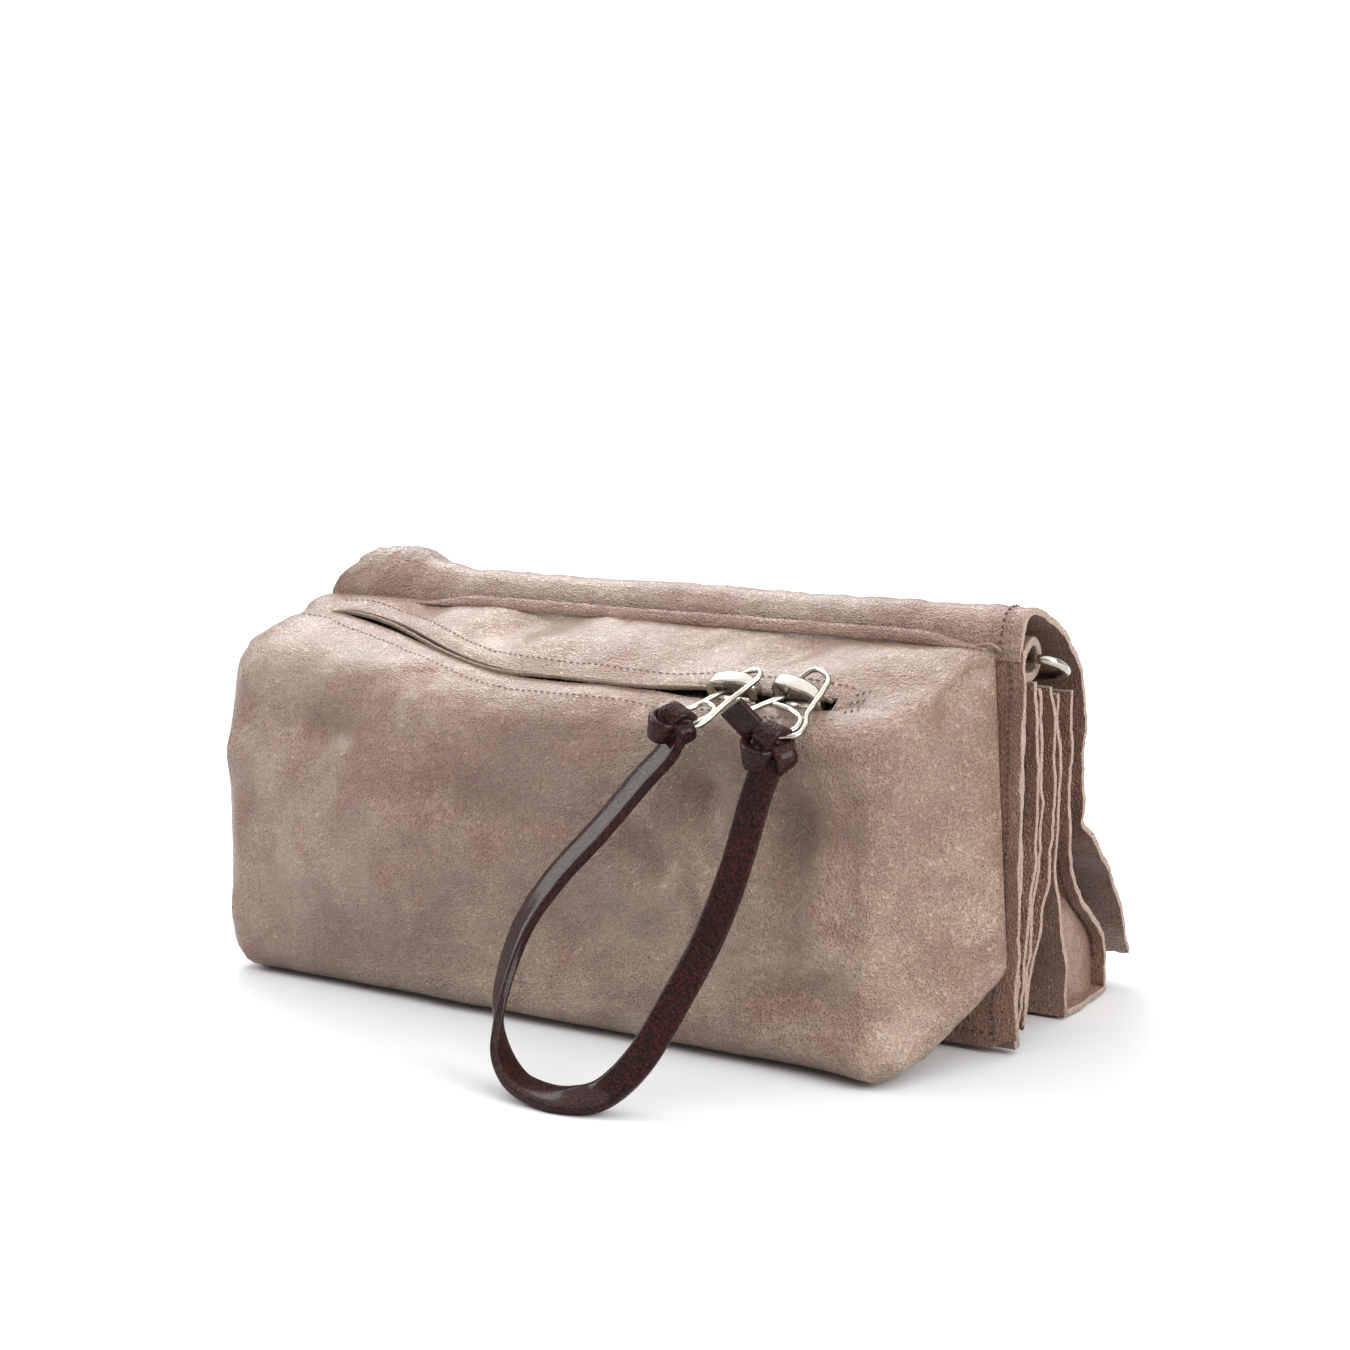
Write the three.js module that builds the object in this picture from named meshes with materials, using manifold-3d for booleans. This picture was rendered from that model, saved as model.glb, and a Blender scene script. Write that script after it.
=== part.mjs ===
// A soft leather shoulder bag: a flap folded over three flat pockets, and a boxy zip pouch behind them
// with two zip sliders joined by a looped leather handle.
//
// Millimetres, +Z up. The origin is the centre of the pouch's flat base, on the surface it stands on.
// +X runs along the bag, +Y points from the pouch towards the flap's front. Most outlines are written as
// [y, z] pairs with y measured from the seam plane where the pouch meets the pockets.
import * as THREE from 'three';
import { mergeVertices } from 'three/addons/utils/BufferGeometryUtils.js';
import Module from 'manifold-3d';

const wasm = await Module();
wasm.setup();

// Driving dimensions
const LEATHER = 1.8;
const GAP = 0.4;
const HALF_WIDTH = 134;
const POUCH_DEPTH = 48;
const SEAM_PLANE_Y = POUCH_DEPTH / 2;
const SEAM_Z = 124;

const POUCH_LEFT_X = -130;
const POUCH_RIGHT_X = 114;
const RIDGE_Z_LEFT = 110;
const RIDGE_Z_RIGHT = 99;
const RIDGE_LEVEL_X = 0;
const POUCH_BULGE = 1.5;

const SLOT_LEFT_X = -111;
const SLOT_STRAIGHT_X = -20;
const SLOT_RIGHT_X = 92;
const SLOT_STRAIGHT = [-32, 107.5];
const SLOT_LEFT_END = [-14.5, 119.5];
const SLOT_HALF_WIDTH = 3.3;
const SLOT_END_TAPER = 5;

const TAPE_WIDTH = 5.5;
const TAPE_THICKNESS = 0.8;
const TEETH_HALF_WIDTH = 1.2;
const TEETH_HEIGHT = 2;

const SLIDER_X = { left: 57.5, right: 79 };
const SLIDER_HALF_LENGTH = 7.5;
const SLIDER_BRIDGE_WIDTH = 4;
const SLIDER_BASE_WIDTH = 5.8;
const SLIDER_BASE_TOP = 0.9;
const SLIDER_BASE_BOTTOM = -1.9;
const BAR_CENTRE = 5.6;
const BAR_HALF_THICKNESS = 1.4;
const WINDOW_HALF_LENGTH = 4.8;

const WIRE_RADIUS = 0.8;
const WIRE_EYE_RADIUS = 3.6;
const WIRE_REACH = 16.3;
const KNOT_DISTANCE = 24.4;
const KNOT_RADII = [8, 6.4, 6.4];
const KNOT_SHIFT = { left: -6, right: 3.4 };

const STRAP_WIDTH = 9;
const STRAP_THICKNESS = 3;

const POCKET_CAVITY_INSET = 3;
const RING_X = 124;
const RING_WIRE_RADIUS = 1.5;
const RING_BAR = [21, 117.5];
const RING_TILT = -22;
const TAB_WIDTH = 10;

const taupe = { color: 0xa5917f, roughness: 0.55, metalness: 0 };
const darkBrown = { color: 0x35201c, roughness: 0.4, metalness: 0 };
const nickel = { color: 0xc8c4bc, roughness: 0.25, metalness: 1 };
const brass = { color: 0x6f6250, roughness: 0.4, metalness: 1 };
const clothBlack = { color: 0x2a2522, roughness: 0.9, metalness: 0 };

const bag = new THREE.Group();

function add(name, geometry, look) {
  const mesh = new THREE.Mesh(geometry, new THREE.MeshStandardMaterial(look));
  mesh.name = name;
  bag.add(mesh);
  return mesh;
}

// ---------------------------------------------------------------- closed solids from rings of points

function signedVolume(points, triangles) {
  let six = 0;
  for (let i = 0; i < triangles.length; i += 3) {
    const a = points[triangles[i]];
    const b = points[triangles[i + 1]];
    const c = points[triangles[i + 2]];
    six += a.dot(new THREE.Vector3().crossVectors(b, c));
  }
  return six / 6;
}

function closedGeometry(points, triangles) {
  const inwards = signedVolume(points, triangles) < 0;
  const index = inwards ? triangles.slice().reverse() : triangles;
  const geometry = new THREE.BufferGeometry().setFromPoints(points);
  geometry.setIndex(index);
  return geometry;
}

// Triangles of one ring's face, found in the ring's own plane.
function capTriangles(ring) {
  const normal = new THREE.Vector3();
  ring.forEach((point, i) => {
    normal.add(new THREE.Vector3().crossVectors(point, ring[(i + 1) % ring.length]));
  });
  const turn = new THREE.Quaternion().setFromUnitVectors(normal.normalize(), new THREE.Vector3(0, 0, 1));
  const flat = ring.map((point) => {
    const turned = point.clone().applyQuaternion(turn);
    return new THREE.Vector2(turned.x, turned.y);
  });
  return THREE.ShapeUtils.triangulateShape(flat, []).flat();
}

function sideTriangles(ringCount, ringSize, closed) {
  const triangles = [];
  const steps = closed ? ringCount : ringCount - 1;
  for (let i = 0; i < steps; i += 1) {
    const here = i * ringSize;
    const next = ((i + 1) % ringCount) * ringSize;
    for (let j = 0; j < ringSize; j += 1) {
      const k = (j + 1) % ringSize;
      triangles.push(here + j, here + k, next + k, here + j, next + k, next + j);
    }
  }
  return triangles;
}

// A solid through a row of rings that all have the same number of points.
function loft(rings) {
  const size = rings[0].length;
  const triangles = sideTriangles(rings.length, size, false);
  const last = (rings.length - 1) * size;
  capTriangles(rings[0]).forEach((i) => triangles.push(i));
  const farCap = capTriangles(rings[rings.length - 1]).map((i) => i + last);
  const direct = [...triangles, ...farCap.reverse()];
  const sideEdge = `${triangles[0]},${triangles[1]}`;
  return closedGeometry(rings.flat(), consistentCaps(direct, sideEdge) ? direct : flipCaps(direct, rings));
}

// The first side triangle runs 0 -> 1 along the first ring, so the first cap must run 1 -> 0.
function consistentCaps(triangles, sideEdge) {
  let uses = 0;
  for (let i = 0; i < triangles.length; i += 3) {
    for (let j = 0; j < 3; j += 1) {
      uses += `${triangles[i + j]},${triangles[i + (j + 1) % 3]}` === sideEdge ? 1 : 0;
    }
  }
  return uses === 1;
}

function flipCaps(triangles, rings) {
  const sides = 6 * rings[0].length * (rings.length - 1);
  return [...triangles.slice(0, sides), ...triangles.slice(sides).reverse()];
}

// A closed loop of round wire.
function wireLoop(points, radius, steps, sides) {
  const curve = new THREE.CatmullRomCurve3(points, true, 'centripetal');
  const frames = curve.computeFrenetFrames(steps, true);
  const rings = [];
  for (let i = 0; i < steps; i += 1) {
    const centre = curve.getPointAt(i / steps);
    rings.push(roundRing(centre, frames.normals[i], frames.binormals[i], radius, sides));
  }
  return closedGeometry(rings.flat(), sideTriangles(steps, sides, true));
}

function roundRing(centre, across, up, radius, sides) {
  return Array.from({ length: sides }, (_, j) => {
    const angle = (2 * Math.PI * j) / sides;
    const point = centre.clone().addScaledVector(across, radius * Math.cos(angle));
    return point.addScaledVector(up, radius * Math.sin(angle));
  });
}

// ------------------------------------------------------------------------------ outlines in the YZ plane

function ringAt(x, outline) {
  return outline.map(([y, z]) => new THREE.Vector3(x, SEAM_PLANE_Y + y, z));
}

// Extrudes one [y, z] outline along X.
function alongX(outline, xStart, xEnd) {
  return loft([ringAt(xStart, outline), ringAt(xEnd, outline)]);
}

// The strip of leather on the right-hand side of a [y, z] line, as a closed outline.
function thicken(line, thickness) {
  const inner = line.map(([y, z], i) => {
    const before = line[Math.max(i - 1, 0)];
    const after = line[Math.min(i + 1, line.length - 1)];
    const length = Math.hypot(after[0] - before[0], after[1] - before[1]);
    const acrossY = (after[1] - before[1]) / length;
    const acrossZ = -(after[0] - before[0]) / length;
    return [y + acrossY * thickness, z + acrossZ * thickness];
  });
  return [...line, ...inner.reverse()];
}

function mix(a, b, t) {
  return a + (b - a) * t;
}

function smooth(t) {
  const s = Math.min(Math.max(t, 0), 1);
  return s * s * (3 - 2 * s);
}

function stations(from, to, count) {
  return Array.from({ length: count }, (_, i) => mix(from, to, i / (count - 1)));
}

// ---------------------------------------------------------------------------------------- zip slot line

// The slot is straight and level where the sliders run, then climbs towards the seam at the left end.
function slotCentre(x) {
  const climb = smooth((SLOT_STRAIGHT_X - x) / (SLOT_STRAIGHT_X - SLOT_LEFT_X));
  return [
    mix(SLOT_STRAIGHT[0], SLOT_LEFT_END[0], climb),
    mix(SLOT_STRAIGHT[1], SLOT_LEFT_END[1], climb),
  ];
}

// Half the gap between the lips: open along the slot, and closed up to a seam past its two ends.
function lipOffset(x) {
  const beyond = Math.max(SLOT_LEFT_X - x, x - SLOT_RIGHT_X, 0);
  return mix(SLOT_HALF_WIDTH, GAP / 2, smooth(beyond / SLOT_END_TAPER));
}

// The slope of the pouch's top, from the slot up to the seam.
function topSlope(x) {
  const [y, z] = slotCentre(x);
  return Math.atan2(SEAM_Z - z, -GAP - y);
}

// A [y, z] place given along the slope from the slot and above the leather's outer face.
function onSlope(x, along, above) {
  const [y, z] = slotCentre(x);
  const slope = topSlope(x);
  return [
    y + along * Math.cos(slope) - above * Math.sin(slope),
    z + along * Math.sin(slope) + above * Math.cos(slope),
  ];
}

// The ridge between the pouch's back and its top is level past the sliders and climbs at the left.
function ridgeZ(x) {
  return mix(RIDGE_Z_RIGHT, RIDGE_Z_LEFT, smooth((RIDGE_LEVEL_X - x) / (RIDGE_LEVEL_X - POUCH_LEFT_X)));
}

// ---------------------------------------------------------------------------------------------- pouch

function backPanelOutline(x) {
  const ridge = ridgeZ(x);
  const line = [
    [-POUCH_DEPTH + 1, 0],
    [-POUCH_DEPTH, 4],
    [-POUCH_DEPTH - POUCH_BULGE, ridge / 2],
    [-POUCH_DEPTH, ridge - 7],
    [-POUCH_DEPTH + 2, ridge - 1.5],
    [-POUCH_DEPTH + 5.5, ridge + 0.8],
    onSlope(x, -lipOffset(x), 0),
  ];
  return thicken(line, LEATHER);
}

function topStripOutline(x) {
  const line = [onSlope(x, lipOffset(x), 0), [-GAP, SEAM_Z]];
  return thicken(line, LEATHER);
}

function sidePanelOutline(x, depth) {
  const share = depth / POUCH_DEPTH;
  const ridge = ridgeZ(x);
  const outline = [[-1, 0], [-POUCH_DEPTH + 1, 0], [-POUCH_DEPTH, 4], [-POUCH_DEPTH - POUCH_BULGE, ridge / 2],
    [-POUCH_DEPTH, ridge - 7], [-POUCH_DEPTH + 5.5, ridge + 0.8], onSlope(x, 0, 0), [-1, SEAM_Z - 0.5]];
  return outline.map(([y, z]) => [y * share, z]);
}

function addPouch() {
  const xs = [POUCH_LEFT_X + GAP, SLOT_LEFT_X - SLOT_END_TAPER, ...stations(SLOT_LEFT_X, SLOT_RIGHT_X, 12),
    SLOT_RIGHT_X + SLOT_END_TAPER, POUCH_RIGHT_X - GAP];
  add('pouch_back_panel', loft(xs.map((x) => ringAt(x, backPanelOutline(x)))), taupe);
  add('pouch_top_strip', loft(xs.map((x) => ringAt(x, topStripOutline(x)))), taupe);
  const base = [[-POUCH_DEPTH + 1 + LEATHER + GAP, 0], [-POUCH_DEPTH + 1 + LEATHER + GAP, LEATHER],
    [-GAP, LEATHER], [-GAP, 0]];
  add('pouch_base', alongX(base, POUCH_LEFT_X + GAP, POUCH_RIGHT_X - GAP), taupe);
  const left = [[POUCH_LEFT_X, POUCH_DEPTH], [-HALF_WIDTH + 1.5, POUCH_DEPTH - 1], [-HALF_WIDTH, POUCH_DEPTH - 5]];
  const right = [[POUCH_RIGHT_X, POUCH_DEPTH], [POUCH_RIGHT_X + 8, POUCH_DEPTH * 0.7],
    [POUCH_RIGHT_X + 15, POUCH_DEPTH * 0.33], [HALF_WIDTH, 3]];
  add('pouch_side_left', loft(left.map(([x, depth]) => ringAt(x, sidePanelOutline(x, depth)))), taupe);
  add('pouch_side_right', loft(right.map(([x, depth]) => ringAt(x, sidePanelOutline(x, depth)))), taupe);
}

// ------------------------------------------------------------------------------------------------ zip

function slopeStrip(xs, alongStart, alongEnd, top, bottom) {
  return loft(xs.map((x) => ringAt(x, [
    onSlope(x, alongStart, top),
    onSlope(x, alongEnd, top),
    onSlope(x, alongEnd, bottom),
    onSlope(x, alongStart, bottom),
  ])));
}

function addZip() {
  const xs = stations(SLOT_LEFT_X, SLOT_RIGHT_X, 15);
  const tapeTop = -LEATHER - 0.9;
  const tapeInner = TEETH_HALF_WIDTH + GAP;
  const tapeOuter = tapeInner + TAPE_WIDTH;
  add('zip_tape_lower', slopeStrip(xs, -tapeOuter, -tapeInner, tapeTop, tapeTop - TAPE_THICKNESS), clothBlack);
  add('zip_tape_upper', slopeStrip(xs, tapeInner, tapeOuter, tapeTop, tapeTop - TAPE_THICKNESS), clothBlack);
  const stopLength = 3;
  const teethTop = SLIDER_BASE_BOTTOM - 0.3;
  const inner = stations(SLOT_LEFT_X + stopLength + GAP, SLOT_RIGHT_X - stopLength - GAP, 15);
  const teeth = [-TEETH_HALF_WIDTH, TEETH_HALF_WIDTH, teethTop, teethTop - TEETH_HEIGHT];
  add('zip_teeth', slopeStrip(inner, ...teeth), brass);
  add('zip_stop_left', slopeStrip([SLOT_LEFT_X, SLOT_LEFT_X + stopLength], ...teeth), brass);
  add('zip_stop_right', slopeStrip([SLOT_RIGHT_X - stopLength, SLOT_RIGHT_X], ...teeth), brass);
}

// Puts geometry drawn as (X, above, -along) on the pouch's sloping top at a place along the zip.
function placeOnSlope(mesh, x) {
  const [y, z] = slotCentre(x);
  mesh.position.set(x, SEAM_PLANE_Y + y, z);
  mesh.rotation.set(Math.PI / 2 + topSlope(x), 0, 0);
}

function toManifold(geometry) {
  const bare = geometry.clone();
  bare.deleteAttribute('normal');
  bare.deleteAttribute('uv');
  const merged = mergeVertices(bare, 1e-4);
  return new wasm.Manifold(new wasm.Mesh({
    numProp: 3,
    vertProperties: new Float32Array(merged.attributes.position.array),
    triVerts: new Uint32Array(merged.index.array),
  }));
}

function fromManifold(manifold) {
  const mesh = manifold.getMesh();
  const geometry = new THREE.BufferGeometry();
  geometry.setAttribute('position', new THREE.BufferAttribute(mesh.vertProperties, 3));
  geometry.setIndex(new THREE.BufferAttribute(mesh.triVerts, 1));
  return geometry;
}

// One cast slider: a base plate between the lips and a bridge whose bar the pull wire hooks round.
function sliderGeometry() {
  const top = BAR_CENTRE + BAR_HALF_THICKNESS;
  const windowTop = BAR_CENTRE - BAR_HALF_THICKNESS;
  const corner = 1.4;
  const side = new THREE.Shape();
  side.moveTo(-SLIDER_HALF_LENGTH, SLIDER_BASE_BOTTOM);
  side.lineTo(SLIDER_HALF_LENGTH, SLIDER_BASE_BOTTOM);
  side.lineTo(SLIDER_HALF_LENGTH, top - corner);
  side.absarc(SLIDER_HALF_LENGTH - corner, top - corner, corner, 0, Math.PI / 2, false);
  side.lineTo(-SLIDER_HALF_LENGTH + corner, top);
  side.absarc(-SLIDER_HALF_LENGTH + corner, top - corner, corner, Math.PI / 2, Math.PI, false);
  const window = new THREE.Path();
  window.moveTo(-WINDOW_HALF_LENGTH, SLIDER_BASE_TOP);
  window.lineTo(WINDOW_HALF_LENGTH, SLIDER_BASE_TOP);
  window.lineTo(WINDOW_HALF_LENGTH, windowTop);
  window.lineTo(-WINDOW_HALF_LENGTH, windowTop);
  side.holes.push(window);
  const bridge = new THREE.ExtrudeGeometry(side, { depth: SLIDER_BRIDGE_WIDTH, bevelEnabled: false, curveSegments: 4 });
  bridge.translate(0, 0, -SLIDER_BRIDGE_WIDTH / 2);
  const height = SLIDER_BASE_TOP - SLIDER_BASE_BOTTOM;
  const base = new THREE.BoxGeometry(2 * SLIDER_HALF_LENGTH - 1, height, SLIDER_BASE_WIDTH);
  base.translate(0, SLIDER_BASE_BOTTOM + height / 2, 0);
  return fromManifold(toManifold(bridge).add(toManifold(base)));
}

// A place near a slider: dx along the zip, along the slope and up from the middle of the bridge bar.
function nearBar(x, dx, along, up) {
  const [y, z] = onSlope(x, along, BAR_CENTRE + up);
  return new THREE.Vector3(x + dx, SEAM_PLANE_Y + y, z);
}

// The bent wire passes under the bar, round it and back over it, with its far bend at the knot.
function wirePoints(x, shift) {
  const eye = WIRE_EYE_RADIUS;
  const halfGap = 2.2;
  return [
    nearBar(x, shift - halfGap, -WIRE_REACH + 2, -1.6),
    nearBar(x, shift / 2 - halfGap, -WIRE_REACH / 2, -3.1),
    nearBar(x, -1.6, -2.5, -eye + 0.1),
    nearBar(x, -1.2, 1.2, -eye + 0.1),
    nearBar(x, -0.6, 3.3, -1.7),
    nearBar(x, 0, eye + 0.1, 0.6),
    nearBar(x, 0.7, 2.4, 2.9),
    nearBar(x, 1.4, -0.6, eye + 0.1),
    nearBar(x, shift / 2 + halfGap, -WIRE_REACH / 2, 2.6),
    nearBar(x, shift + halfGap, -WIRE_REACH + 2, 1.4),
    nearBar(x, shift, -WIRE_REACH, 0),
  ];
}

function addSliderAndPull(side) {
  const x = SLIDER_X[side];
  const shift = KNOT_SHIFT[side];
  placeOnSlope(add(`slider_${side}`, sliderGeometry(), nickel), x);
  add(`pull_wire_${side}`, wireLoop(wirePoints(x, shift), WIRE_RADIUS, 44, 8), nickel);
  const knot = add(`knot_${side}`, knotGeometry(), darkBrown);
  knot.position.copy(nearBar(x, shift, -KNOT_DISTANCE, 0));
}

function knotGeometry() {
  const ball = new THREE.SphereGeometry(1, 14, 9);
  ball.scale(...KNOT_RADII);
  return fromManifold(toManifold(ball));
}

// --------------------------------------------------------------------------------------- handle strap

// The strap's middle line from the left knot to the right one, as [x, y from the seam plane, z].
// It leans out from the pouch and its lowest part lies on the ground.
const strapRoute = [
  [49.4, -58.8, 93], [43, -61.5, 86], [31.5, -66, 71], [20, -73, 56], [14.2, -82, 42], [13.8, -92, 25],
  [18.5, -99, 12.5], [26.5, -104, 5], [36, -106, 2.2], [46, -106.5, 2.2], [56, -103.5, 5.8], [64.5, -97.5, 15.5],
  [70.5, -88.5, 31], [75, -78, 47], [78, -68.5, 65], [80.5, -61.4, 84], [82.2, -59.4, 93],
];
// The direction across the strap at the left knot, on the ground and at the right knot.
const strapAcross = [[0.8, -0.6, 0], [0.05, -1, 0], [-0.86, -0.5, 0]];

function strapRing(curve, t) {
  const centre = curve.getPointAt(t);
  const tangent = curve.getTangentAt(t);
  const [start, ground, end] = strapAcross.map((v) => new THREE.Vector3(...v));
  const across = t < 0.5 ? start.lerp(ground, smooth(t * 2)) : ground.lerp(end, smooth(t * 2 - 1));
  across.addScaledVector(tangent, -across.dot(tangent)).normalize();
  const up = new THREE.Vector3().crossVectors(tangent, across);
  const bevel = 0.7;
  const w = STRAP_WIDTH / 2;
  const h = STRAP_THICKNESS / 2;
  const corners = [[w, -h + bevel], [w, h - bevel], [w - bevel, h], [-w + bevel, h],
    [-w, h - bevel], [-w, -h + bevel], [-w + bevel, -h], [w - bevel, -h]];
  return corners.map(([a, b]) => centre.clone().addScaledVector(across, a).addScaledVector(up, b));
}

function addStrap() {
  const points = strapRoute.map(([x, y, z]) => new THREE.Vector3(x, SEAM_PLANE_Y + y, z));
  const curve = new THREE.CatmullRomCurve3(points, false, 'centripetal');
  const steps = 36;
  const rings = Array.from({ length: steps + 1 }, (_, i) => strapRing(curve, i / steps));
  add('handle_strap', loft(rings), darkBrown);
}

// ------------------------------------------------------------------------------------ pockets and flap

const rearPocket = {
  outer: [[2.6, 0], [2.6, 113], [13.8, 113], [13.8, 0.5]],
  cavity: [[4.4, 2], [4.4, 130], [12, 130], [12, 2]],
};
const middlePocket = {
  outer: [[14.4, 6], [14.6, 60], [14.6, 110], [27.4, 110], [27.8, 60], [26.5, 39], [22, 17], [17, 6]],
  cavity: [[16.4, 18], [16.4, 130], [25.6, 130], [26, 60], [24.7, 39.4], [20.3, 18]],
};
const frontPocket = {
  outer: [[28.4, 60], [28.4, 106], [43, 106], [41, 61], [53.5, 39], [70, 27], [77, 18], [79.6, 0], [43, 0],
    [41, 20], [34, 40]],
  cavity: [[30.2, 60.4], [30.2, 130], [41.6, 130], [41.2, 106], [39, 61], [52, 37.4], [68.8, 25.4],
    [75.4, 17], [77.6, 2], [44.8, 2], [42.8, 20.6], [35.8, 40.6]],
};

function pocketGeometry({ outer, cavity }) {
  const whole = toManifold(alongX(outer, -HALF_WIDTH + 1, HALF_WIDTH - 1));
  const hollowHalf = HALF_WIDTH - 1 - POCKET_CAVITY_INSET;
  return fromManifold(whole.subtract(toManifold(alongX(cavity, -hollowHalf, hollowHalf))));
}

function addPockets() {
  const back = [[GAP, 0], [GAP, 122], [2.2, 122], [2.2, 0]];
  add('body_back_panel', alongX(back, -HALF_WIDTH, HALF_WIDTH), taupe);
  add('rear_pocket', pocketGeometry(rearPocket), taupe);
  add('middle_pocket', pocketGeometry(middlePocket), taupe);
  add('front_pocket', pocketGeometry(frontPocket), taupe);
}

const flapRootLine = [[0, SEAM_Z + 0.6], [2.5, 129.6], [5.7, 132.9], [8.7, 133.5]];
const flapLine = [[10, 133.7], [20, 131.2], [33, 125], [43.5, 117.5], [50.5, 108], [54, 96], [55, 78],
  [56.5, 61], [64, 50.5], [76, 41], [85, 28], [92, 16], [97, 10]];

function addFlap() {
  add('flap_root', alongX(thicken(flapRootLine, LEATHER), -HALF_WIDTH, HALF_WIDTH), taupe);
  add('flap', alongX(thicken(flapLine, LEATHER), -HALF_WIDTH, HALF_WIDTH), taupe);
}

// ------------------------------------------------------------------------------------- D rings and tabs

// Half of the D outline as [x, reach] in the ring's own plane, from the bar to the nose.
const ringHalf = [[4, 0], [8, 0], [11, 2.2], [12, 7], [10.6, 14], [6, 19.6], [0, 21.5]];

function ringPoints(x) {
  const mirrored = ringHalf.slice(0, -1).reverse().map(([dx, reach]) => [-dx, reach]);
  const tilt = THREE.MathUtils.degToRad(RING_TILT);
  return [...ringHalf, ...mirrored].map(([dx, reach]) => new THREE.Vector3(
    x + dx,
    SEAM_PLANE_Y + RING_BAR[0] + reach * Math.cos(tilt),
    RING_BAR[1] + reach * Math.sin(tilt),
  ));
}

// A leather tab wrapped round the ring's bar, with a tail sewn on the rear pocket's rim.
function tabGeometry() {
  const bore = RING_WIRE_RADIUS + GAP;
  const outer = bore + 1.5;
  const tab = new THREE.Shape();
  tab.moveTo(-11, -4.1);
  tab.lineTo(-1, -outer);
  tab.absarc(0, 0, outer, -Math.PI * 0.5, Math.PI * 0.85, false);
  tab.lineTo(-11, -1.8);
  const hole = new THREE.Path();
  hole.absarc(0, 0, bore, 0, Math.PI * 2, true);
  tab.holes.push(hole);
  const geometry = new THREE.ExtrudeGeometry(tab, { depth: TAB_WIDTH, bevelEnabled: false, curveSegments: 12 });
  geometry.translate(0, 0, -TAB_WIDTH / 2);
  return fromManifold(toManifold(geometry));
}

function addRing(side, x) {
  add(`d_ring_${side}`, wireLoop(ringPoints(x), RING_WIRE_RADIUS, 40, 10), nickel);
  const tab = add(`ring_tab_${side}`, tabGeometry(), taupe);
  tab.position.set(x, SEAM_PLANE_Y + RING_BAR[0], RING_BAR[1]);
  // The tab's outline is drawn looking along -X, with its x axis towards +Y.
  tab.rotation.set(Math.PI / 2, Math.PI / 2, 0, 'XYZ');
}

addPouch();
addZip();
addSliderAndPull('left');
addSliderAndPull('right');
addStrap();
addPockets();
addFlap();
addRing('left', -RING_X);
addRing('right', RING_X);

export default bag;
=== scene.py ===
"""A soft leather flap bag with a zip pouch at its back, dressed for rendering.

Shapes are worked out in millimetres, with x along the bag, y measured from the seam plane where the
pouch meets the pockets, and z up from the ground. to_scene() turns them into the frame's metres.
"""
import math

import bmesh
import bpy
import numpy as np
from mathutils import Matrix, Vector, noise


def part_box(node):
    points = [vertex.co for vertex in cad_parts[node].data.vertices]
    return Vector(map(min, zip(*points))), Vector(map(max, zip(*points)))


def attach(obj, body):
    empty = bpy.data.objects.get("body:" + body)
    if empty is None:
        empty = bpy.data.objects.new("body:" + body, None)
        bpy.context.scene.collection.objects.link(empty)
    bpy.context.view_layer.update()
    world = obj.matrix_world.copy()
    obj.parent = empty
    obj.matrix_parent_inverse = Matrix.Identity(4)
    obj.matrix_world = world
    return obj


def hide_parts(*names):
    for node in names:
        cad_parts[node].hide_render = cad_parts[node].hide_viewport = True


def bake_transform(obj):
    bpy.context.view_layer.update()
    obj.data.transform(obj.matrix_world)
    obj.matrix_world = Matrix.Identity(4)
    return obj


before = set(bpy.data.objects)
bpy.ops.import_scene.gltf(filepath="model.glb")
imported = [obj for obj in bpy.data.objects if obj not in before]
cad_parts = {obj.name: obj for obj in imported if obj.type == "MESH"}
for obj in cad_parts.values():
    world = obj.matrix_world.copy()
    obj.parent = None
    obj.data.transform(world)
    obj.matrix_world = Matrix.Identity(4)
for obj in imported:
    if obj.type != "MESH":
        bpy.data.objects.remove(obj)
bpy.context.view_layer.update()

MM = 0.001
GAP = 0.4  # from the seam plane to the back panel's pouch side
SEAM_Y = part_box("body_back_panel")[0].y / MM - GAP
HALF_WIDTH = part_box("body_back_panel")[1].x / MM
SEAM_Z = 124.0

POUCH_DEPTH = 48.0
POUCH_LEFT = -129.0
POUCH_RIGHT = 114.0
POUCH_SEAM_HALF = 126.0
RIDGE_Z = (110.0, 98.5)  # the back wall's height at its left and right ends
FOOT_ROUND = (8.0, 9.0)  # how far in and up the back wall's rounded foot reaches

LEATHER = 1.5  # thicknesses: the pouch, the flap and pockets, and the gussets
SHEET = 2.1
GUSSET = 1.2

# The zip's slot: y and z on its straight part and at its left end, and its ends along x.
SLOT_STRAIGHT = (-32.0, 107.5)
SLOT_LEFT_END = (-14.5, 119.5)
SLOT_STRAIGHT_X = -20.0
SLOT_X = (-111.0, 90.0)
SLIDER_X = {"left": 57.5, "right": 79.0}

SIDES = (("left", -1), ("right", 1))


# ------------------------------------------------------------------ camera

def add_camera():
    """The camera stands right of the bag's back, a little above it."""
    data = bpy.data.cameras.new("camera")
    data.sensor_width = 36.0
    data.lens = 61.9
    camera = bpy.data.objects.new("camera", data)
    bpy.context.scene.collection.objects.link(camera)
    camera.location = to_scene((393.0, -621.0, 220.0))
    camera.rotation_euler = (math.radians(90 - 8.9), 0, math.radians(31.2))
    bpy.context.scene.camera = camera


# ------------------------------------------------------------------ small maths

def to_scene(points):
    """Millimetres from the seam plane to metres in the frame."""
    return (np.asarray(points, float) + np.array([0.0, SEAM_Y, 0.0])) * MM


def mix(a, b, t):
    return a + (b - a) * t


def smooth(t):
    s = np.clip(t, 0.0, 1.0)
    return s * s * (3 - 2 * s)


def bump(x, centre, width):
    """A bell, 1 at the centre."""
    return np.exp(-(((x - centre) / width) ** 2))


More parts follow.
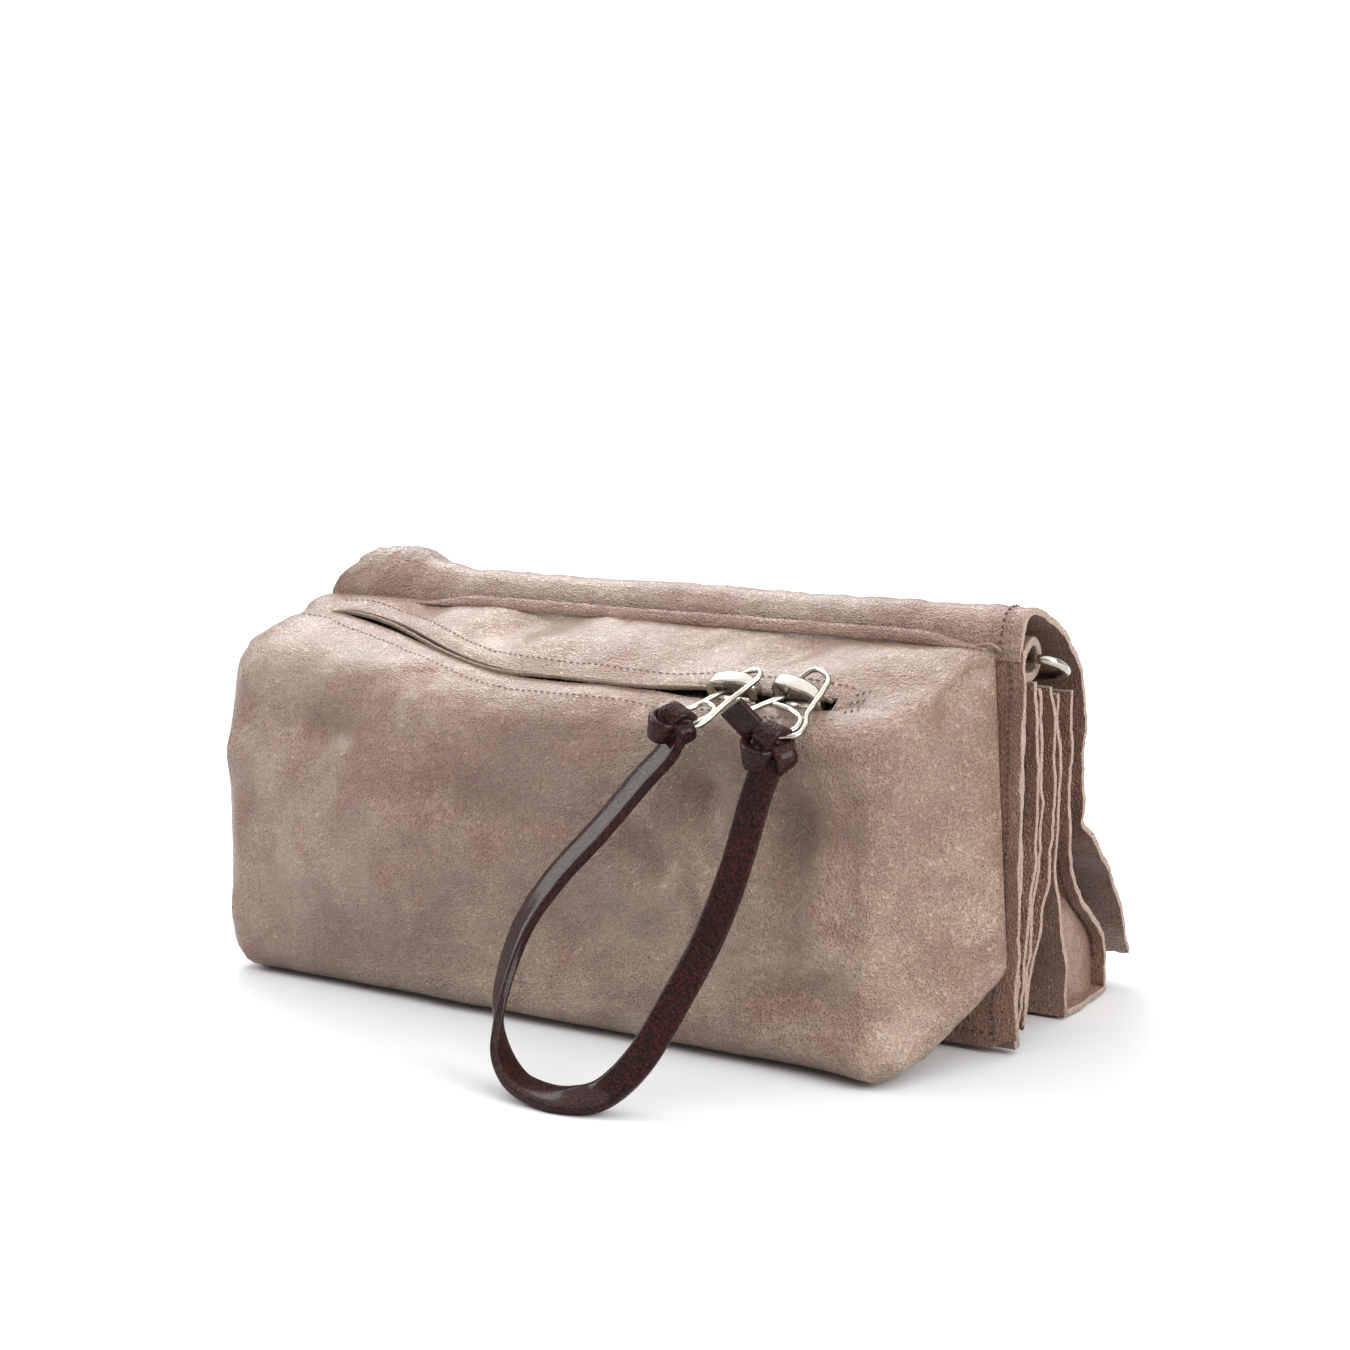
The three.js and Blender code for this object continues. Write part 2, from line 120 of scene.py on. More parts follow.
def wobble(points, size, seed=0.0, octaves=2):
    """Smooth noise from about -1 to 1 at each point, with features of about size millimetres."""
    flat = np.asarray(points, float).reshape(-1, 3) / size + seed
    values = [noise.fractal(Vector(p), 1.0, 2.0, octaves) for p in flat]
    return np.array(values).reshape(np.asarray(points).shape[:-1])


def sway(points, axes, size, seed):
    """Wobble that varies only along the axes that are not 0."""
    return wobble(points * np.array(axes), size, seed)


def unit(vectors):
    return vectors / np.maximum(np.linalg.norm(vectors, axis=-1, keepdims=True), 1e-9)


def tangents(line, closed=False):
    return unit(np.roll(line, -1, axis=0) - np.roll(line, 1, axis=0) if closed else np.gradient(line, axis=0))


def grid_normals(grid):
    across = np.gradient(grid, axis=1)
    along = np.gradient(grid, axis=0)
    return unit(np.cross(across, along))


def curve_points(control, count, closed=False):
    """Evenly spaced points on a smooth curve through the control points."""
    control = np.asarray(control, float)
    if closed:
        padded = np.vstack([control[-1:], control, control[:2]])
    else:
        padded = np.vstack([2 * control[0] - control[1], control, 2 * control[-1] - control[-2]])
    dense = []
    for i in range(1, len(padded) - 2):
        p0, p1, p2, p3 = padded[i - 1:i + 3]
        for t in np.linspace(0, 1, 24, endpoint=False):
            dense.append(0.5 * (2 * p1 + (p2 - p0) * t + (2 * p0 - 5 * p1 + 4 * p2 - p3) * t * t
                                + (3 * p1 - p0 - 3 * p2 + p3) * t ** 3))
    dense.append(padded[-2])
    return resample(np.array(dense), count, closed)


def resample(line, count, closed=False):
    """Points at equal steps along a line; a closed one leaves out its repeated last point."""
    steps = np.linalg.norm(np.diff(line, axis=0), axis=1)
    total = np.concatenate([[0], np.cumsum(steps)])
    wanted = np.linspace(0, total[-1], count + 1 if closed else count)
    wanted = wanted[:count]
    return np.stack([np.interp(wanted, total, line[:, k]) for k in range(line.shape[1])], axis=1)


def line_length(line):
    return float(np.linalg.norm(np.diff(line, axis=0), axis=1).sum())


# ------------------------------------------------------------------ mesh making

def new_object(name, points, faces, materials):
    mesh = bpy.data.meshes.new(name)
    mesh.from_pydata([tuple(p) for p in to_scene(points)], [], [tuple(int(i) for i in f) for f in faces])
    for material in materials:
        mesh.materials.append(material)
    mesh.polygons.foreach_set("use_smooth", np.ones(len(mesh.polygons), bool))
    mesh.update()
    obj = bpy.data.objects.new(name, mesh)
    bpy.context.scene.collection.objects.link(obj)
    return obj


def grid_faces(rows, cols, start=0, keep=None):
    faces = []
    for i in range(rows - 1):
        for j in range(cols - 1):
            if keep is None or keep[i, j]:
                a = start + i * cols + j
                faces.append((a, a + 1, a + cols + 1, a + cols))
    return faces


def soften(obj, width, angle):
    """Rounds the edges that turn by more than an angle, and leaves a plain mesh."""
    bevel = obj.modifiers.new("bevel", "BEVEL")
    bevel.width = width * MM
    bevel.segments = 2
    bevel.limit_method = "ANGLE"
    bevel.angle_limit = math.radians(angle)
    graph = bpy.context.evaluated_depsgraph_get()
    graph.update()
    mesh = bpy.data.meshes.new_from_object(obj.evaluated_get(graph))
    obj.modifiers.clear()
    obj.data = mesh
    mesh.polygons.foreach_set("use_smooth", np.ones(len(mesh.polygons), bool))


def thicken(obj, thickness):
    """Gives a sheet its thickness: the materials are its face side, its flesh side and its raw edge."""
    solid = obj.modifiers.new("solid", "SOLIDIFY")
    solid.thickness = thickness * MM
    solid.offset = -1
    solid.material_offset = 1
    solid.material_offset_rim = 2
    soften(obj, thickness * 0.28, 60)


def leather_sheet(name, grid, thickness, materials):
    """A sheet of leather from a grid of points."""
    obj = new_object(name, grid.reshape(-1, 3), grid_faces(*grid.shape[:2]), materials)
    thicken(obj, thickness)
    return obj


def sweep(line, section, across, closed=False):
    """Rings of a section, given as (sideways, up) pairs, along a line; across sets the sideways way."""
    tangent = tangents(line, closed)
    side = unit(across - tangent * np.sum(across * tangent, axis=1, keepdims=True))
    up = np.cross(tangent, side)
    section = np.asarray(section, float)
    if section.ndim == 2:
        section = np.repeat(section[None], len(line), axis=0)
    return line[:, None] + side[:, None] * section[..., :1] + up[:, None] * section[..., 1:]


def combine(name, parts, material):
    """One mesh from several closed sets of rings, given as (rings, closed)."""
    points, faces, start = [], [], 0
    for rings, closed in parts:
        count, size = rings.shape[:2]
        points.append(rings.reshape(-1, 3))
        for i in range(count if closed else count - 1):
            here, after = start + i * size, start + (i + 1) % count * size
            for j in range(size):
                k = (j + 1) % size
                faces.append((here + j, here + k, after + k, after + j))
        if not closed:
            faces.append(tuple(start + k for k in range(size - 1, -1, -1)))
            faces.append(tuple(start + (count - 1) * size + k for k in range(size)))
        start += count * size
    return outward(new_object(name, np.vstack(points), faces, [material]))


def ring_object(name, rings, material, closed=False):
    return combine(name, [(rings, closed)], material)


def outward(obj):
    """Turns a closed mesh's faces out."""
    mesh = bmesh.new()
    mesh.from_mesh(obj.data)
    bmesh.ops.recalc_face_normals(mesh, faces=mesh.faces)
    mesh.to_mesh(obj.data)
    mesh.free()
    return obj


def round_section(radius, sides=12):
    angles = np.linspace(0, 2 * math.pi, sides, endpoint=False)
    return np.stack([np.cos(angles), np.sin(angles)], axis=1) * radius


def flat_section(width, height, sides=20, squareness=5.0):
    """A strap's section: a rounded rectangle, squarer the higher its squareness."""
    angles = np.linspace(0, 2 * math.pi, sides, endpoint=False)
    c = np.cos(angles)
    s = np.sin(angles)
    size = (np.abs(c) ** squareness + np.abs(s) ** squareness) ** (-1 / squareness)
    return np.stack([c * size * width / 2, s * size * height / 2], axis=1)


def steady_across(line, first):
    """Sideways directions that turn as little as they can along a line."""
    side = np.asarray(first, float)
    result = []
    for t in tangents(line):
        side = side - t * np.dot(side, t)
        side = side / np.linalg.norm(side)
        result.append(side)
    return np.array(result)


# ------------------------------------------------------------------ materials

class Nodes:
    """Short names for building a material's or a world's nodes."""

    def __init__(self, owner, space="Object"):
        owner.use_nodes = True
        self.owner = owner
        self.tree = owner.node_tree
        self.coordinates = self.tree.nodes.new("ShaderNodeTexCoord").outputs[space]

    def add(self, kind, inputs=None, **settings):
        node = self.tree.nodes.new(kind)
        for key, value in settings.items():
            setattr(node, key, value)
        for key, value in (inputs or {}).items():
            self.put(node.inputs[key], value)
        return node

    def put(self, socket, value):
        if isinstance(value, bpy.types.NodeSocket):
            self.tree.links.new(value, socket)
        else:
            socket.default_value = value

    def noise(self, scale, detail=3.0, roughness=0.55, vector=None, distortion=0.0):
        node = self.add("ShaderNodeTexNoise", {
            "Vector": vector or self.coordinates, "Scale": scale, "Detail": detail,
            "Roughness": roughness, "Distortion": distortion})
        return node.outputs["Fac"]

    def cells(self, scale):
        """The distance to the nearest edge between cells."""
        node = self.add("ShaderNodeTexVoronoi", {"Vector": self.coordinates, "Scale": scale},
                        feature="DISTANCE_TO_EDGE")
        return node.outputs["Distance"]

    def stretched(self, scale):
        node = self.add("ShaderNodeMapping", {"Vector": self.coordinates, "Scale": scale})
        return node.outputs["Vector"]

    def maths(self, operation, a, b):
        node = self.add("ShaderNodeMath", {0: a, 1: b}, operation=operation)
        return node.outputs[0]

    def span(self, value, low, high, to_low=0.0, to_high=1.0):
        node = self.add("ShaderNodeMapRange", {
            "Value": value, "From Min": low, "From Max": high, "To Min": to_low, "To Max": to_high})
        return node.outputs["Result"]

    def blend(self, share, a, b):
        node = self.add("ShaderNodeMix", data_type="RGBA")
        self.put(node.inputs["Factor"], share)
        self.put(node.inputs[6], a)
        self.put(node.inputs[7], b)
        return node.outputs[2]

    def bumps(self, height, distance, strength=1.0, under=None):
        inputs = {"Height": height, "Distance": distance, "Strength": strength}
        if under is not None:
            inputs["Normal"] = under
        return self.add("ShaderNodeBump", inputs).outputs["Normal"]

    def finish(self, **values):
        """Sets the shader's inputs, named with _ for each space, and gives the material."""
        shader = self.tree.nodes["Principled BSDF"]
        for key, value in values.items():
            self.put(shader.inputs[key.replace("_", " ")], value)
        return self.owner


def srgb(red, green, blue):
    """An 8-bit screen colour as a linear one."""
    return tuple((c / 255 / 12.92 if c <= 10 else ((c / 255 + 0.055) / 1.055) ** 2.4)
                 for c in (red, green, blue)) + (1.0,)


def grain(nodes, pit_scale, depth, wrinkled=True):
    """Leather grain: a net of raised lines round small pits, over fine wrinkles and soft swells."""
    pits = nodes.cells(pit_scale)
    normal = nodes.bumps(nodes.span(pits, 0.03, 0.26, 1.0, 0.0), depth * MM, 0.9)
    if wrinkled:
        lines = nodes.noise(430.0, 4.0, 0.65, nodes.stretched((0.35, 0.8, 1.1)), 1.0)
        swells = nodes.noise(85.0, 4.0, 0.55, nodes.stretched((0.55, 1.0, 1.1)), 0.4)
        normal = nodes.bumps(lines, depth * 1.5 * MM, 0.85, normal)
        normal = nodes.bumps(swells, depth * 5.0 * MM, 0.85, normal)
    return pits, normal


PIT = srgb(112, 83, 70)
PORE = srgb(78, 52, 43)


def face_leather(name, dark, light, red):
    """Taupe leather's face side: a pale net round redder pits, mottled, with a soft wax sheen."""
    nodes = Nodes(bpy.data.materials.new(name))
    clouds = nodes.noise(16.0, 4.0, 0.6)
    patches = nodes.noise(34.0, 3.0, 0.6, distortion=0.8)
    specks = nodes.noise(640.0, 2.0, 0.6)
    pits, normal = grain(nodes, 960.0, 0.46)
    base = nodes.blend(nodes.span(clouds, 0.36, 0.66), dark, light)
    base = nodes.blend(nodes.span(patches, 0.44, 0.66, 0.0, 0.75), base, red)
    pitted = nodes.maths("MULTIPLY", nodes.span(pits, 0.06, 0.24, 0.0, 0.85),
                         nodes.span(patches, 0.36, 0.62, 0.3, 1.0))
    base = nodes.blend(pitted, base, PIT)
    pores = nodes.maths("MULTIPLY", nodes.span(specks, 0.5, 0.66, 0.0, 0.6), nodes.span(pits, 0.1, 0.3))
    base = nodes.blend(pores, base, PORE)
    rough = nodes.span(patches, 0.3, 0.7, 0.25, 0.4)
    return nodes.finish(Base_Color=base, Roughness=rough, Normal=normal, Specular_IOR_Level=0.5,
                        Sheen_Weight=0.06, Sheen_Roughness=0.5, Coat_Weight=0.2, Coat_Roughness=0.24)


def flesh_leather():
    """The suede side: dull, fibrous and a little pinker."""
    nodes = Nodes(bpy.data.materials.new("taupe_suede"))
    fibres = nodes.noise(900.0, 4.0, 0.7)
    clouds = nodes.noise(30.0, 3.0)
    base = nodes.blend(nodes.span(clouds, 0.3, 0.7), srgb(110, 86, 75), srgb(140, 116, 102))
    base = nodes.blend(nodes.span(fibres, 0.4, 0.7, 0.0, 0.35), base, srgb(100, 80, 71))
    normal = nodes.bumps(fibres, 0.25 * MM, 0.8)
    return nodes.finish(Base_Color=base, Roughness=0.95, Normal=normal, Sheen_Weight=0.3,
                        Sheen_Roughness=0.7, Specular_IOR_Level=0.2)


def raw_edge():
    """A cut edge: pale lilac-grey fibres with darker specks."""
    nodes = Nodes(bpy.data.materials.new("raw_edge"))
    fibres = nodes.noise(1300.0, 4.0, 0.7)
    base = nodes.blend(nodes.span(fibres, 0.35, 0.7), srgb(164, 146, 133), srgb(96, 78, 69))
    normal = nodes.bumps(fibres, 0.2 * MM, 0.8)
    return nodes.finish(Base_Color=base, Roughness=0.85, Normal=normal, Specular_IOR_Level=0.25)


def lace_leather():
    """Dark brown waxed leather with red showing through its pebbles."""
    nodes = Nodes(bpy.data.materials.new("dark_leather"))
    edges, normal = grain(nodes, 950.0, 0.4, wrinkled=False)
    clouds = nodes.noise(60.0, 3.0, 0.6)
    fine = nodes.noise(1000.0, 3.0, 0.7)
    red = nodes.maths("MULTIPLY", nodes.span(fine, 0.42, 0.6), nodes.span(clouds, 0.3, 0.6, 0.55, 1.0))
    base = nodes.blend(red, srgb(18, 9, 8), srgb(70, 26, 16))
    base = nodes.blend(nodes.span(edges, 0.0, 0.12, 0.7, 0.0), base, srgb(12, 7, 7))
    creases = nodes.noise(330.0, 3.0, 0.6, distortion=0.8)
    normal = nodes.bumps(creases, 0.5 * MM, 0.8, normal)
    rough = nodes.span(fine, 0.35, 0.7, 0.3, 0.46)
    return nodes.finish(Base_Color=base, Roughness=rough, Normal=normal, Specular_IOR_Level=0.08,
                        Coat_Weight=0.24, Coat_Roughness=0.15)


def metal(name, colour, dull, roughness, scratch=0.02):
    nodes = Nodes(bpy.data.materials.new(name))
    clouds = nodes.noise(120.0, 3.0, 0.6)
    lines = nodes.noise(2200.0, 2.0, 0.6, nodes.stretched((0.15, 1.0, 1.0)))
    base = nodes.blend(nodes.span(clouds, 0.5, 0.75, 0.0, 0.6), colour, dull)
    rough = nodes.span(clouds, 0.3, 0.7, roughness, roughness + 0.12)
    normal = nodes.bumps(lines, scratch * MM, 0.5)
    return nodes.finish(Base_Color=base, Metallic=1.0, Roughness=rough, Normal=normal)


def thread(name, dark, light):
    nodes = Nodes(bpy.data.materials.new(name))
    twist = nodes.noise(2600.0, 2.0)
    base = nodes.blend(nodes.span(twist, 0.35, 0.65), dark, light)
    normal = nodes.bumps(twist, 0.1 * MM, 0.8)
    return nodes.finish(Base_Color=base, Roughness=0.75, Normal=normal)


def tape_weave():
    """Zip tape: a fine dark herringbone."""
    nodes = Nodes(bpy.data.materials.new("zip_tape"))
    rows = nodes.add("ShaderNodeTexWave", {"Vector": nodes.coordinates, "Scale": 520.0, "Distortion": 1.5,
                                           "Detail": 1.0}, bands_direction="DIAGONAL")
    base = nodes.blend(rows.outputs["Fac"], srgb(26, 21, 19), srgb(58, 49, 44))
    normal = nodes.bumps(rows.outputs["Fac"], 0.15 * MM, 0.8)
    return nodes.finish(Base_Color=base, Roughness=0.9, Normal=normal)


def floor_paint():
    """Pale paper, painted whiter away from the bag, where the lamps' light falls off: painted light."""
    nodes = Nodes(bpy.data.materials.new("floor"))
    faint = nodes.noise(3.0, 2.0)
    reach = nodes.add("ShaderNodeVectorMath", {0: nodes.coordinates}, operation="LENGTH").outputs["Value"]
    near = nodes.blend(nodes.span(faint, 0.3, 0.7), (0.6, 0.6, 0.6, 1), (0.62, 0.62, 0.62, 1))
    # Painted light: the far floor is whiter to make up for the lamps' light falling off with distance.
    base = nodes.blend(nodes.span(reach, 0.3, 1.0), near, (0.92, 0.92, 0.92, 1))
    return nodes.finish(Base_Color=base, Roughness=0.9, Specular_IOR_Level=0.1)


TAUPE = face_leather("taupe_leather", srgb(130, 107, 90), srgb(168, 147, 127), srgb(130, 96, 80))
# A darker, redder copy of the taupe leather: painted shade for the back panel, the pockets, their gussets, the
# seam strip and the flap's underside, which lie in shade.
SHADED_TAUPE = face_leather("taupe_leather_shaded", srgb(122, 87, 70), srgb(146, 112, 92), srgb(104, 68, 54))
SUEDE = flesh_leather()
EDGE = raw_edge()
LACE = lace_leather()
NICKEL = metal("nickel", srgb(176, 170, 160), srgb(114, 106, 97), 0.16)
ZIP_METAL = metal("zip_metal", srgb(120, 108, 92), srgb(60, 52, 44), 0.3, 0.04)
THREAD = thread("thread", srgb(46, 34, 30), srgb(84, 66, 57))
PALE_THREAD = thread("thread_pale", srgb(96, 74, 64), srgb(150, 128, 113))
TAPE = tape_weave()
LEATHER_SIDES = [TAUPE, SUEDE, EDGE]
# The shaded copy on both faces: painted shade.
SHADED_SIDES = [SHADED_TAUPE, SHADED_TAUPE, EDGE]


# ------------------------------------------------------------------ stitches

# One stitch, from end to end: how far along, how thick and how raised.
STITCH = [(-0.5, 0.05, -0.6), (-0.36, 0.8, 0.1), (0.0, 1.0, 0.45), (0.36, 0.8, 0.1), (0.5, 0.05, -0.6)]


def stitches(name, line, normals, pitch, length, radius, material=THREAD, turning=False):
    """Separate thread stitches lying along a line on a surface; turning ones are left unattached, like the
    flap.
    """
    count = max(2, int(line_length(line) / pitch))
    centres = resample(line, count)
    ups = unit(resample(normals, count))
    sides = 6
    points = []
    faces = []
    for centre, up, way in zip(centres, ups, tangents(centres)):
        side = np.cross(way, up)
        start = len(points)
        for along, size, lift in STITCH:
            for k in range(sides):
                angle = 2 * math.pi * k / sides
                points.append(centre + way * along * length
                              + (side * math.cos(angle) + up * math.sin(angle)) * radius * size
                              + up * radius * lift)
        for i in range(len(STITCH) - 1):
            for k in range(sides):
                a = start + i * sides + k
                b = start + i * sides + (k + 1) % sides
                faces.append((a, b, b + sides, a + sides))
        faces.append(tuple(start + k for k in range(sides - 1, -1, -1)))
        faces.append(tuple(start + (len(STITCH) - 1) * sides + k for k in range(sides)))
    obj = outward(new_object(name, np.array(points), faces, [material]))
    if turning:
        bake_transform(obj)
    else:
        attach(obj, "bag")


# ------------------------------------------------------------------ the zip line on the pouch's top

def slot_centre(x):
    """The slot's y and z at x."""
    climb = smooth((SLOT_STRAIGHT_X - np.asarray(x, float)) / (SLOT_STRAIGHT_X - SLOT_X[0]))
    return mix(SLOT_STRAIGHT[0], SLOT_LEFT_END[0], climb), mix(SLOT_STRAIGHT[1], SLOT_LEFT_END[1], climb)


def on_slope(x, along, above):
    """A point given by its distance up the slope from the slot, and above the leather."""
    y, z = slot_centre(x)
    slope = np.arctan2(SEAM_Z - z, -GAP - y)
    return np.stack([np.asarray(x, float) + 0 * y,
                     y + along * np.cos(slope) - above * np.sin(slope),
                     z + along * np.sin(slope) + above * np.cos(slope)], axis=-1)


def ridge_z(x):
    return mix(RIDGE_Z[1], RIDGE_Z[0], smooth((-20.0 - x) / 105.0))


def lip_raise(x):
    """How much of its lift the upper lip has at x, from 0 to 1."""
    return smooth((x - SLOT_X[0] + 3) / 9.0) * smooth((SLOT_X[1] + 3 - x) / 5.0)


def lip_gap(x):
    """Half the opening between the lips: gaping at the left end and by the sliders, nearly shut between."""
    gape = 0.5 + 1.5 * bump(x, -84.0, 22.0) + 2.0 * smooth((x - 22.0) / 26.0) + 0.5 * bump(x, -8.0, 12.0)
    return 0.2 + smooth((x - SLOT_X[0]) / 8.0) * smooth((SLOT_X[1] + 2 - x) / 5.0) * gape


# ------------------------------------------------------------------ the pouch's skin

# Rows of the skin: the base, which has as many as the top, the back wall, and the top below the slot.
RIM_ROWS = 18
WALL_ROWS = 30
LOWER_ROWS = 10
FOOT_ROW = RIM_ROWS - 1
RIDGE_ROW = FOOT_ROW + WALL_ROWS - 1
SLOT_ROW = RIDGE_ROW + LOWER_ROWS - 1
SKIN_COLUMNS = 96

# Dents and swells of the back wall: x, z, their half widths both ways, and the depth.
DENTS = [(55, 80, 10, 9, 6.0), (84, 72, 8, 12, 7.0), (104, 62, 7, 19, 5.0), (-20, 68, 24, 8, 4.0),
         (38, 57, 10, 10, 5.0), (-88, 86, 22, 7, 4.0), (14, 34, 32, 11, 3.4), (70, 70, 6, 15, -3.6),
         (66, 44, 11, 14, -3.4), (-70, 42, 34, 15, -3.2), (94, 24, 15, 8, 4.0), (-112, 30, 10, 26, 2.2),
         (-50, 62, 20, 6, -2.8), (97, 84, 7, 6, -3.2), (20, 84, 14, 6, -2.4), (94, 48, 6, 14, -2.6)]


def side_x(y, z, end):
    """How far the pouch reaches sideways: it narrows from the seam to its back, and swells low down."""
    share = np.clip(-y / POUCH_DEPTH, 0, 1)
    if end > 0:
        return mix(POUCH_SEAM_HALF + 6.0 * smooth((96.0 - z) / 72.0), POUCH_RIGHT, share)
    return mix(-124.0, POUCH_LEFT - 3.6 * smooth((106.0 - z) / 56.0), share)


def skin_profile(x):
    """The [y, z] outline of the pouch at x: base, back wall, and top up to the seam."""
    ridge = float(ridge_z(x))
    lift = 24.0 * float(smooth((x - 66.0) / 56.0)) + 5.0 * float(smooth((-112.0 - x) / 20.0))
    base_t = np.linspace(0, 1, RIM_ROWS)[:, None]
    base = mix(np.array([[0.0, 2.5 + lift]]), np.array([[FOOT_ROUND[0] - POUCH_DEPTH, 0.0]]), base_t)
    base[:, 1] += 1.2 * np.sin(np.pi * base_t[:, 0]) - 0.6
    t = np.linspace(0, 1, WALL_ROWS)
    t = t ** 1.25
    under = 1 - np.sqrt(1 - np.clip(1 - ridge * t / FOOT_ROUND[1], 0, 1) ** 2)
    wall = np.stack([FOOT_ROUND[0] * under - POUCH_DEPTH - 1.8 * np.sin(np.pi * t), ridge * t], axis=1)
    lower = on_slope(x, -float(lip_gap(x)), 0.0)[1:]
    raised = float(lip_raise(x))
    upper = on_slope(x, float(lip_gap(x)) - 0.9 * raised, 1.5 * raised)[1:]
    t = np.linspace(0, 1, LOWER_ROWS)[:, None]
    top_low = mix(np.array([[-POUCH_DEPTH, ridge]]), lower[None], t)
    top_low[:, 1] += 1.3 * np.sin(np.pi * t[:, 0])
    t = np.linspace(0, 1, RIM_ROWS - LOWER_ROWS)[:, None]
    top_high = mix(upper[None], np.array([[0.0, SEAM_Z]]), t)
    top_high[:, 1] += 0.8 * np.sin(np.pi * t[:, 0])
    line = np.vstack([base[:-1], wall, top_low[1:], top_high])
    rows = np.arange(1, len(line) - 1)
    near = np.maximum(bump(rows, RIDGE_ROW, 2.5), bump(rows, FOOT_ROW, 2.2))[:, None]
    for _ in range(5):
        middle = line[1:-1] * 0.5 + (line[:-2] + line[2:]) * 0.25
        line[1:-1] = mix(line[1:-1], middle, near)
    return line


def skin_inward(line):
    """The way into the pouch from each point of its [y, z] outline."""
    tangent = tangents(line)
    return np.stack([tangent[:, 1], -tangent[:, 0]], axis=1)


def skin_columns():
    """Positions along the skin, closer together where it turns at its two ends."""
    inner = np.linspace(9.0, 91.0, SKIN_COLUMNS - 16) / 100
    turn = 0.09 * (1 - np.cos(np.linspace(0, np.pi / 2, 9)[:-1])) ** 0.8
    return np.concatenate([turn, inner, (1 - turn)[::-1]])


def dress_skin(points, normals):
    """Sag, dents and creases that the soft leather has taken."""
    x, y, z = points[..., 0], points[..., 1], points[..., 2]
    back = smooth((-y - 36.0) / 10.0)
    side = smooth((x - 100.0) / 14.0)
    push = (1.9 * wobble(points, 48.0, 3.0) + 1.35 * wobble(points * np.array([0.8, 1, 1.15]), 19.0, 9.0)
            + 0.32 * wobble(points, 7.5, 5.0))
    rolled = np.stack([(x * 0.94 + z * 0.34) * 0.3, y * 0.5, (z * 0.94 - x * 0.34)], axis=-1)
    push = push + 1.6 * wobble(rolled, 12.0, 15.0) * smooth((z - 20.0) / 40.0)
    for cx, cz, wx, wz, depth in DENTS:
        push = push - depth * bump(x, cx, wx) * bump(z, cz, wz) * back
    crease = bump((x - 116.0) - (z - 98.0) * 0.42, 0.0, 3.6)
    push = push - 2.8 * crease * smooth((z - 92.0) / 10.0) * side * (1 - smooth((z - 120.0) / 4.0))
    right_half = smooth((x + 20) / 60) * (1 - smooth((x - 95.0) / 15.0))
    for drop, shift, depth in ((0.14, 0.0, 1.3), (0.1, 6.4, 1.0), (0.168, -7.2, 0.9)):
        fold = bump(z - 92.0 - shift + (x - 40.0) * drop, 0.0, 3.0)
        push = push - depth * fold * back * right_half
    for cy, cz, tilt, depth in ((-30.0, 66.0, 0.5, 1.3), (-16.0, 44.0, -0.35, 1.1), (-34.0, 26.0, 0.9, 1.4)):
        fold = bump((y - cy) - (z - cz) * tilt, 0.0, 3.2)
        push = push - depth * fold * bump(z, cz, 20.0) * side
    held = smooth(-y / 6.0) * smooth((z + 0.5) / 7.0)
    slot_y, slot_z = slot_centre(x)
    near_slot = np.exp(-((y - slot_y) ** 2 + (z - slot_z) ** 2) / 50.0) * smooth((z - 90.0) / 8.0)
    moved = points + normals * (push * held * (1 - 0.75 * near_slot))[..., None]
    tip = smooth((x - 88.0) / 26.0) * smooth((17.0 - z) / 15.0) * smooth((-y - 30.0) / 16.0)
    moved[..., 0] += 6.0 * tip
    moved[..., 1] -= 3.0 * tip
    return moved


def end_panel(edge):
    """A folded end, filled in between the skin's edge rows and a straight line at the seam."""
    foot = edge[:RIM_ROWS][::-1]
    head = edge[RIDGE_ROW:]
    back = edge[FOOT_ROW:RIDGE_ROW + 1]
    u = np.linspace(0, 1, RIM_ROWS)[None, :, None]
    v = np.linspace(0, 1, WALL_ROWS)[:, None, None]
    front = mix(foot[-1], head[-1], v[:, 0])
    head = resample(head, RIM_ROWS)
    panel = ((1 - v) * foot[None] + v * head[None] + (1 - u) * back[:, None] + u * front[:, None]
             - ((1 - u) * (1 - v) * foot[0] + u * (1 - v) * foot[-1]
                + (1 - u) * v * head[0] + u * v * head[-1]))
    middle = 16 * u[..., 0] * (1 - u[..., 0]) * v[..., 0] * (1 - v[..., 0])
    return panel, 1.6 * middle


